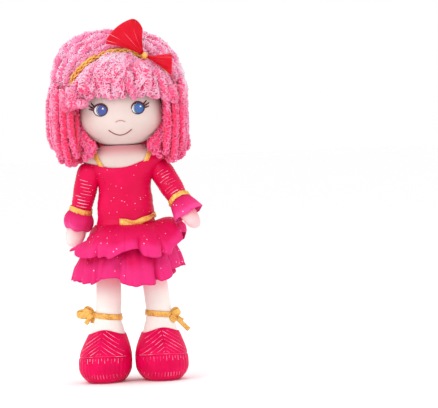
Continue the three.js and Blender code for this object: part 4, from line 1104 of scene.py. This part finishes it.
EYES = {
    "right": dict(
        white=(-19.2, 270.9, 13.6, 11.6), iris=(-17.9, 270.9, 10.4, 11.2), glint=(-16.6, 272.3), blue=violet_blue,
        lid=(-8, 200),
    ),
    "left": dict(
        white=(17.6, 271.4, 12.2, 11.4), iris=(18.6, 271.4, 9.8, 11.0), glint=(20.0, 272.9), blue=clear_blue,
        lid=(-20, 188),
    ),
}
LASHES = ((176, 4.8), (160, 6.0), (143, 5.4))
for name, eye in EYES.items():
    side = SIDE[name]
    satin_patch(f"eye_white_{name}", oval(*eye["white"]), 0.45, white)
    satin_patch(f"eye_iris_{name}", oval(*eye["iris"]), 0.95, eye["blue"])
    satin_patch(f"eye_glint_{name}", oval(*eye["glint"], 2.2, 2.2, steps=16), 1.35, white)
    first, last = (math.radians(turn) for turn in eye["lid"])
    strokes = [
        [on_rim(eye["white"], turn, 0.1, 0.45, 0.85 + 0.95 * max(0, math.sin(turn)))
         for turn in np.linspace(first, last, 40)],
        [on_rim(eye["white"], turn, 0.1, 0.4, 0.62)
         for turn in np.linspace(math.radians(198), math.radians(352), 30)],
        [on_rim(eye["iris"], turn, 0, 0.5, 0.5) for turn in np.linspace(0, 2 * math.pi, 40)],
    ]
    x, z, width, height = eye["white"]
    for turn, length in LASHES:
        angle = math.radians(turn if side < 0 else 180 - turn)
        root_x, root_z = x + width / 2 * math.cos(angle), z + height / 2 * math.sin(angle)
        lash = []
        for s in np.linspace(0, 1, 8):
            bend = angle + side * 0.16 * s
            tip = on_face(root_x + length * s * math.cos(bend), root_z + length * s * math.sin(bend), 0.45)
            lash.append((*tip, 1.5 - 0.75 * s))
        strokes.append(lash)
    thread(f"eye_outline_{name}", strokes, 0.62, maroon, "head")

smile = [on_face(-0.7 + 11.4 * s, 245.6 + 5.4 * abs(s) ** 1.9, 0.25) for s in np.linspace(-1, 1, 36)]
thread("mouth_stitches", [smile], 0.56, dark_rose, "head")
nose = [on_face(-0.1 + 4.6 * s, 260.1 - 1.5 * abs(s) ** 1.8, 0.2) for s in np.linspace(-1, 1, 18)]
thread("nose_stitches", [nose], 0.4, rose, "head")

# Hair: thick ropes of chenille yarn sewn to the head along a parting, hanging to the shoulders all round, with a
# curly fringe before the band. Each rope is a twisted core with a pile of small loops standing out of it.
HAIR_LEAN, HAIR_BACK = -4.5, 6
HAIR_HALF_WIDTH, HAIR_HALF_DEPTH = 71, 50
HAIR_TOP = 350.1
HAIR_FULLNESS = 2.7
LOCK_TOP = 295.1
ROPE = 3.7
PILE = 1.5
PILE_YARN = 0.5


def yarn(name, deep, middle, light, scale):
    """Chenille yarn in random patches of tone, with painted shade that makes it deeper and redder low down beside the
    face.
    """
    chenille = Finish(name, 0.95, Sheen_Weight=0.3, Sheen_Roughness=0.6)
    patchy = chenille.lay("TexNoise", Scale=scale, Detail=4)
    dye = chenille.tones(patchy.outputs["Fac"], (0.32, deep), (0.5, middle), (0.68, light))
    where = chenille.lay("SeparateXYZ").outputs
    low = chenille.add("MapRange", where["Z"], From_Min=0.3, From_Max=0.262, To_Max=0.95)
    sideways = chenille.add("Math", where["X"], operation="ABSOLUTE")
    by_face = chenille.add("MapRange", sideways.outputs["Value"], From_Min=0.073, From_Max=0.06, To_Min=0.4)
    painted_shade = chenille.add("Math", low.outputs["Result"], by_face.outputs["Result"], operation="MULTIPLY")
    chenille.colour(overlaid(chenille, painted_shade.outputs["Value"], dye, (1.0, 0.26, 0.52), how="MULTIPLY"))
    fibre = chenille.lay("TexNoise", Scale=900, Detail=2)
    emboss(chenille, fibre.outputs["Fac"], 0.5, 0.5)
    return chenille


# Three copies of one yarn: the cores and backing of most pieces deepest, as painted shade in the grooves; the loops at
# a rope's sides between; the loops that face outwards palest, as painted light.
yarn_painted_shade = yarn("yarn_painted_shade", (0.86, 0.035, 0.15), (0.92, 0.06, 0.20), (0.96, 0.10, 0.26), 80)
yarn_half_painted_shade = yarn("yarn_pile_half_painted_shade", (0.92, 0.11, 0.29), (0.96, 0.24, 0.45), (0.98, 0.40, 0.61), 60)
yarn_painted_light = yarn("yarn_pile_painted_light", (0.95, 0.30, 0.50), (0.97, 0.52, 0.70), (0.98, 0.74, 0.86), 55)


def hair_outside(turn, rise_angle, stand):
    """A point of the hair's outside. Turn goes round from the face by the left; the angle rises to the crown."""
    share = max(math.cos(rise_angle), 0) ** (2 / HAIR_FULLNESS)
    z = HEAD_HEIGHT + (HAIR_TOP - HEAD_HEIGHT + stand) * max(math.sin(rise_angle), 0) ** (2 / HAIR_FULLNESS)
    width = HAIR_HALF_WIDTH * share + stand * math.cos(rise_angle)
    depth = HAIR_HALF_DEPTH * share + stand * math.cos(rise_angle)
    return Vector((HAIR_LEAN + width * math.sin(turn), HAIR_BACK - depth * math.cos(turn), z))


def fall_from(path, turn, tip, dice):
    """Lets a rope hang from the end of its path to its tip, swaying a little and drawn in at the end."""
    phase, sway = dice.uniform(0, 6), dice.uniform(0.5, 1.2)
    outer = path[-1]
    for z in np.arange(outer.z - 2.5, tip, -2.5):
        down = (outer.z - z) / max(outer.z - tip, 1)
        draw = 15 * max(0, down - 0.45) ** 2
        sideways = sway * math.sin(phase + z / 9)
        p = Vector((outer.x, outer.y, z))
        p.x += sideways * math.cos(turn) - draw * math.sin(turn)
        p.y += sideways * math.sin(turn) + draw * math.cos(turn)
        path.append(p)
    return path


def from_head(point):
    """The way that the pile stands up at a point: away from the head, or to the front inside the locks."""
    away = (point - Vector((HAIR_LEAN, HAIR_BACK, min(point.z, HEAD_HEIGHT + 12)))).normalized()
    if point.z < LOCK_TOP - 8 and point.y < 31 and abs(point.x) < 49:
        away = (away + Vector((0, -1.3, 0))).normalized()
    return away


def small_loop(root, size, out, across):
    """Four points of a loop of pile that stands out of its root."""
    return [root + size * (out * math.cos(angle) + across * math.sin(angle)) for angle in (-2.2, -0.75, 0.75, 2.2)]


def loops_on(path, dice, every, size, radius):
    """Small loops of pile that stand out of a rope, on the sides that can be seen."""
    tops, sides = [], []
    places = np.array(path)
    steps = np.linalg.norm(np.diff(places, axis=0), axis=1)
    reach = np.concatenate([[0], np.cumsum(steps)])
    for s in np.arange(0.3, reach[-1], every):
        i = max(min(int(np.searchsorted(reach, s)) - 1, len(path) - 2), 0)
        centre = path[i].lerp(path[i + 1], (s - reach[i]) / max(steps[i], 1e-6))
        tangent = (path[i + 1] - path[i]).normalized()
        side = tangent.cross(from_head(centre)).normalized()
        away = side.cross(tangent).normalized()
        turn = dice.gauss(0, 0.95)
        out = away * math.cos(turn) + side * math.sin(turn)
        lie = dice.uniform(-math.pi, math.pi)
        across = tangent * math.cos(lie) + tangent.cross(out) * math.sin(lie)
        girth = size * dice.uniform(0.7, 1.3)
        root = centre + out * radius * dice.uniform(0.6, 0.9)
        (tops if abs(turn) < 0.75 else sides).append(small_loop(root, girth, out, across))
    for _ in range(18):
        spot = Vector((dice.gauss(0, 1), dice.gauss(0, 1), dice.gauss(0, 1))).normalized()
        out = (spot + tangent * 0.9).normalized()
        across = out.orthogonal().normalized()
        across.rotate(Matrix.Rotation(dice.uniform(-math.pi, math.pi), 3, out))
        root = path[-1] + out * radius * 0.45
        (tops if dice.random() < 0.5 else sides).append(small_loop(root, size, out, across))
    return tops, sides


def hair_piece(name, node, backing, ropes, dice, every, size=PILE, radius=ROPE, inside=yarn_painted_shade):
    """One part of the hair: the sewn backing inside it, the cores of its ropes and their pile, a loop in every
    so many millimetres."""
    bm = bmesh.new()
    for cloth in backing:
        add_part(bm, cloth, 0)
    cores, tops, sides = [], [], []
    for rope in ropes:
        core = []
        for i, point in enumerate(rope):
            share = 0.88 + 0.12 * math.sin(i * 1.9)
            if i >= len(rope) - 2:
                share *= 0.8 if i == len(rope) - 2 else 0.45
            core.append((*point, share))
        cores.append(core)
        rope_tops, rope_sides = loops_on(rope, dice, every, size, radius)
        tops += rope_tops
        sides += rope_sides
    add_part(bm, cords(name + "_cores", cores, radius), 0)
    add_part(bm, cords(name + "_side_pile", sides, PILE_YARN, sides=0, ends=False), 1)
    add_part(bm, cords(name + "_top_pile", tops, PILE_YARN, sides=0, ends=False), 2)
    piece = as_piece(name, bm, inside, yarn_half_painted_shade, yarn_painted_light)
    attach(piece, "head")
    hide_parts(node)


# The parted ropes lie side by side behind the band, each a wider arch than the one before it, and hang down
# outside the cheeks. The back ropes spread from the end of the parting.
dice = random.Random(11)
ropes = []
ARCHES = (
    (-8, 58.6, 69.5, 0, 2.05, 219), (-4.5, 62, 74.3, -1.5, 2.25, 224), (0.5, 65, 79, -3, 2.45, 231),
    (6.5, 67.2, 83, -4.5, 2.7, 235), (10.5, 67.4, 83, -4.5, 2.7, 236), (15, 66.6, 82.6, -4.5, 2.7, 237),
)
for y, half_width, rise, lean, fullness, hem in ARCHES:
    for name, hand in SIDE.items():
        path = []
        phase = dice.uniform(0, 6)
        for angle in np.linspace(math.radians(91), 0, 40):
            flat = max(math.cos(angle), 0) ** (2 / fullness)
            lift = max(math.sin(angle), 0) ** (2 / fullness)
            stray = 0.7 * math.sin(phase + 6 * angle)
            z = HEAD_HEIGHT + rise * lift + 0.4 * stray
            tuck = 4.2 * math.exp(-(((z - 303) / 17) ** 2)) if hand < 0 else 0
            path.append(Vector((lean + hand * (half_width * flat - tuck), y + stray, z)))
        fall_from(path, hand * math.pi / 2, hem + dice.uniform(-2.5, 2.5), dice)
        ropes.append((name, path))
BACK_ROPES = 22
for i in range(BACK_ROPES):
    turn = math.radians(104 + 152 * i / (BACK_ROPES - 1))
    start = math.radians(82 - 9 * (i % 3))
    path = []
    phase = dice.uniform(0, 6)
    for angle in np.linspace(start, 0, 36):
        path.append(hair_outside(turn + 0.02 * math.sin(phase + 5 * angle), angle, -ROPE - 0.4))
    tip = 214 + 5 * abs(math.cos(turn)) ** 4 + 20 * ease(48, 70, HAIR_HALF_WIDTH * abs(math.sin(turn)))
    ropes.append(("back", fall_from(path, turn, tip + dice.uniform(-3, 3), dice)))

# Shorter ropes line the locks inside, round the face and the back of the neck.
for name, hand in SIDE.items():
    for x, y, top, tip in (
        (46.5, -21, 290, 223), (53.5, -19.5, 292, 217), (60, -15.5, 292, 226), (50, -14, 292, 219), (57, -11, 292, 222),
        (62, -10.5, 298, 221), (61.5, -5, 298, 226), (62.5, 0, 298, 230),
        (45, -14, 282, 228), (43.5, -8, 274, 230), (42, -1, 268, 232), (40, 5.5, 262, 228), (35, 14, 258, 225),
        (28.5, 20.5, 256, 226), (21.5, 25.5, 255, 224), (13, 29, 254, 225), (4.5, 31, 254, 223),
    ):
        lean = 3 if hand < 0 and x > 46 else 0
        path = [Vector((hand * (x - 1.5 + lean), y + 2, top)), Vector((hand * (x + lean), y, top - 6))]
        turn = math.radians(70) if y < 0 else 0
        fall_from(path, hand * turn, tip + dice.uniform(-2, 2), dice)
        ropes.append(("back" if y > 10 else name, path))

# Two more on each side curl in under the jaw and lie against the neck.
for name, hand in SIDE.items():
    for outer, low in ((0, 0), (5.5, 3.5)):
        path = [Vector((hand * (x + outer), y, z - low * down)) for x, y, z, down in (
            (41, -4, 258, 0), (39.6, -8, 251, 0), (36.6, -12, 245.5, 0.2), (31.4, -14, 240, 0.4),
            (28.2, -16, 235, 0.6), (28.8, -18, 231, 0.8), (31, -19.5, 227, 1),
        )]
        ropes.append((name, path))

crown_ropes, lock_ropes = [], {"left": [], "back": [], "right": []}
for place, path in ropes:
    above = [p for p in path if p.z > LOCK_TOP - 6]
    below = [p for p in path if p.z < LOCK_TOP + 6]
    if len(above) > 2:
        crown_ropes.append(above)
    lock_ropes[place].append(below)


def scalp(u, v):
    """The cloth that the ropes are sewn to, close over the head behind the band."""
    turn, rise = math.pi * (0.5 + u), 0.5 * math.pi * (1 - 0.75 * v)
    grow = 5
    flat = math.cos(rise)
    return Vector((
        (HEAD_HALF[0] + grow) * flat * math.sin(turn),
        -(HEAD_HALF[1] + grow) * flat * math.cos(turn) - 8,
        HEAD_HEIGHT + (CROWN_RISE + grow) * math.sin(rise),
    ))


def underside(u, v):
    """The inside of the back ropes, stitched together."""
    return hair_outside(math.radians(92 + 176 * u), math.radians(84 - 84 * v), -ROPE - 3.2)


def sunk_copy(node, depth):
    """A CAD node drawn in by a depth, as the backing that its ropes are sewn to."""
    bm = merged_copy(node)
    bm.normal_update()
    for v in bm.verts:
        v.co -= v.normal * depth * MM
    return bm


arch_count = 2 * len(ARCHES)
arches, behind = crown_ropes[:arch_count], crown_ropes[arch_count:]
for _ in range(110):
    spot = dice.choice(arches[:arch_count])
    curl, heading = [], dice.uniform(-1.4, 1.4)
    start = dice.randrange(0, max(1, len(spot) - 5))
    for step in range(6):
        p = spot[min(len(spot) - 1, start + step)].copy()
        p.y += 1.3 * step * math.sin(heading)
        p += from_head(p) * (0.4 + 1.3 * math.sin(step))
        curl.append(p)
    arches.append(curl)
backing = [cut_cloth(40, 20, scalp)]
hair_piece("hair_crown_yarn", "hair_crown", backing, arches, dice, every=0.56, size=1.75, radius=ROPE + 0.3,
           inside=yarn_half_painted_shade)
backing = [cut_cloth(60, 24, underside)]
hair_piece("hair_crown_back_yarn", "hair_crown", backing, behind, dice, every=0.46)
for place, paths in lock_ropes.items():
    bm = sunk_copy("hair_locks_" + place, 6.5)
    hair_piece(f"hair_locks_{place}_yarn", "hair_locks_" + place, [bm], paths, dice, every=0.38)


def below_band(p):
    """Whether a point of the fringe leaves the band in sight above it."""
    band_line = HEAD_HEIGHT + 65.9 * math.sqrt(max(0, 1 - (p.x / 58.3) ** 2)) - 8.5
    room = max(band_line, 297 - 0.8 * (abs(p.x) - 43.7)) if p.x < 22 else band_line + 6
    return p.z < room


fringe_ropes = []
FRINGE_ROPES = 36
for i in range(FRINGE_ROPES):
    turn = math.radians(-75 + 150 * i / (FRINGE_ROPES - 1))
    temple = ease(0.6, 1.15, abs(turn))
    brow = math.radians(20 - 8 * temple + dice.uniform(-1.8, 1.5) + 2.5 * temple * math.sin(turn))
    top = math.radians(78)
    path = []
    phase = dice.uniform(0, 6)
    for v in np.linspace(1, 0, 30):
        tilt = brow + (top - brow) * v
        full = (0.40 + 0.60 * math.sin(0.5 * math.pi * min(1, 1.7 * (1 - v)))) * (0.8 + 0.2 * min(1, 3 * v))
        bunch = 1.3 * math.sin(2 * phase + 11 * v)
        grow, wide = 12 * full - ROPE + bunch, 21 * full - ROPE + bunch
        grow += 2.6 * ease(0.6, 0.85, v)
        stray = 0.055 * math.sin(phase + 8 * v) + 0.03 * math.sin(3 * phase + 17 * v)
        flat = math.cos(tilt)
        p = Vector((
            (HEAD_HALF[0] + wide) * flat * math.sin(turn + stray),
            -(HEAD_HALF[1] + grow) * flat * math.cos(turn + stray),
            HEAD_HEIGHT + (CROWN_RISE + grow) * math.sin(tilt),
        ))
        corner = ease(math.radians(48), math.radians(74), abs(turn))
        p.y -= 15 * corner * (1 - v)
        p.x += 2.5 * corner * (1 - v) * math.copysign(1, turn)
        if p.y < -15 and below_band(p):
            path.append(p)
    if len(path) > 3:
        fringe_ropes.append(path)
for _ in range(60):
    spot = dice.choice(fringe_ropes)
    curl, heading = [], dice.uniform(-1.2, 1.2)
    start = dice.randrange(len(spot) // 2, len(spot))
    for step in range(6):
        p = spot[max(len(spot) // 5, start - 2 * step)].copy()
        p.x += 1.6 * step * math.sin(heading)
        p += from_head(p) * (1.2 + 1.2 * math.sin(step))
        if below_band(p + Vector((0, 0, 2))):
            curl.append(p)
    if len(curl) > 3:
        fringe_ropes.append(curl)
bm = sunk_copy("hair_fringe", 4.4)
for v in bm.verts:
    v.co.z += 6 * MM * ease(0.305, 0.280, v.co.z)
hair_piece("hair_fringe_yarn", "hair_fringe", [bm], fringe_ropes, dice, every=0.41, size=1.75, radius=ROPE + 0.2)

# Headband: a flat gold braid of three strands, laid over the hair between the fringe and the crown.
# It lies on two ropes of the hair's yarn, which are sewn along the head beneath it.
BAND_HALF_WIDTH = 57.6
BAND_RISE = 67.0
BAND_FLATTENED = 0.965
BAND_BED = 6.5


def on_band(angle, grow, y):
    """A point along the band's arch over the head, grown outwards."""
    z = HEAD_HEIGHT + (BAND_RISE + grow) * BAND_FLATTENED * math.sin(angle)
    return Vector(((BAND_HALF_WIDTH + grow) * math.cos(angle), y, z))


beds = []
for y in (-19.5, -12.5):
    bed = []
    for angle in np.linspace(math.radians(28), math.radians(152), 60):
        sunk = BAND_BED + 5 * ease(0.78, 0.9, abs(math.cos(angle)))
        bed.append(on_band(angle, -sunk, y))
    beds.append(bed)
hair_piece("hair_band_bed_yarn", "hair_crown", [], beds, random.Random(3), every=0.5, size=1.4)
strands = []
for strand_index in range(3):
    shift = 2 * math.pi * strand_index / 3
    strand = []
    for angle in np.linspace(math.radians(24), math.radians(156), 160):
        weave_turn = angle * 17 + shift
        tucked = 7 * ease(0.78, 0.92, abs(math.cos(angle)))
        grow = 1.0 + 1.9 * math.sin(weave_turn) - tucked
        strand.append(on_band(angle, grow, -16 + 0.8 * math.sin(2 * weave_turn)))
    strands.append(strand)
braid = thread("headband_braid", strands, 1.15, gold, "head", sides=2)
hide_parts("headband")

# Bow: two plump loops of red satin ribbon, creased outwards from the knot and folded back on themselves, tied on
# the band by a short wrap of gold ribbon.
red_satin = Finish("red_bow_satin", 0.38, Specular_IOR_Level=0.14)
cloud = red_satin.lay("TexNoise", Scale=70, Detail=3)
scarlet = red_satin.tones(cloud.outputs["Fac"], (0.3, (0.57, 0.0015, 0.012)), (0.7, (0.70, 0.003, 0.024)))
# Pale streaks along the ribbon are painted highlights of the satin.
drawn = red_satin.add("Mapping", red_satin.add("UVMap").outputs["UV"], Scale=(34, 1.6, 1))
streak = red_satin.add("TexNoise", drawn.outputs["Vector"], Scale=1.0, Detail=2).outputs["Fac"]
painted_highlight = red_satin.add("MapRange", streak, From_Min=0.66, From_Max=0.74)
red_satin.colour(overlaid(red_satin, painted_highlight.outputs["Result"], scarlet, (1.0, 0.36, 0.40)))
emboss(red_satin, streak, 0.35, 0.6)

KNOT = Vector((26.2, -20, 322.7))
for name, middle, half, lengths, forward, creases, flat_cut in (
    ("right", 125.4, 34.5, (38.5, 39.2, 41.0), 0.05, 3.5, (0.033, 0.072)),
    ("left", -17.5, 20.6, (32.5, 28.4, 27.4), 0.34, 2.5, (0.016, 0.055)),
):

    def fan(u, v, middle=middle, half=half, lengths=lengths, forward=forward, creases=creases):
        """A loop of ribbon laid out as a fan: from the knot to its end at v = 0.5, and back behind itself."""
        across = 2 * u - 1
        out = math.sin(math.pi * v) ** 0.75
        angle = math.radians(middle + half * across * (0.72 + 0.28 * out))
        low, mid, high = lengths
        length = mid + 0.5 * (high - low) * across + (0.5 * (high + low) - mid) * across * across
        rounded = 12 * (max(0, -across - 0.5) / 0.5) ** 2.2 if half > 30 else 0
        length -= rounded + 1.2 * ease(0.75, 1, across)
        spread = 3.0 + (length - 3.0) * out
        facing = math.copysign(abs(math.cos(math.pi * v)) ** 0.35, math.cos(math.pi * v))
        crease = (math.cos(2 * math.pi * creases * u + 1) + 0.5 * math.cos(17 * u + 2)) * out ** 0.6
        plump = (1.2 + 2.6 * math.sin(math.pi * min(out, 1) ** 1.3 * 0.8)) * (1 - 0.55 * across * across)
        return KNOT + Vector((
            spread * math.cos(angle), -facing * (plump + crease) - forward * spread, spread * math.sin(angle),
        ))

    wing = ribbon(f"bow_wing_{name}_satin", cut_cloth(60, 48, fan), "head", red_satin, "bow_ribbon",
                  f"bow_wing_{name}", thickness=0.4)

bm = bmesh.new()
bmesh.ops.create_uvsphere(bm, u_segments=28, v_segments=20, radius=5 * MM)
bmesh.ops.scale(bm, vec=(0.62, 0.95, 0.8), verts=bm.verts)
for v in bm.verts:
    v.co *= 1 + 0.05 * math.cos(v.co.x / MM * 4.5)
bmesh.ops.translate(bm, vec=(KNOT + Vector((0.3, -0.6, 0))) * MM, verts=bm.verts)
knot = as_piece("bow_knot_gold", bm, gold)
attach(knot, "head")
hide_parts("bow_knot")
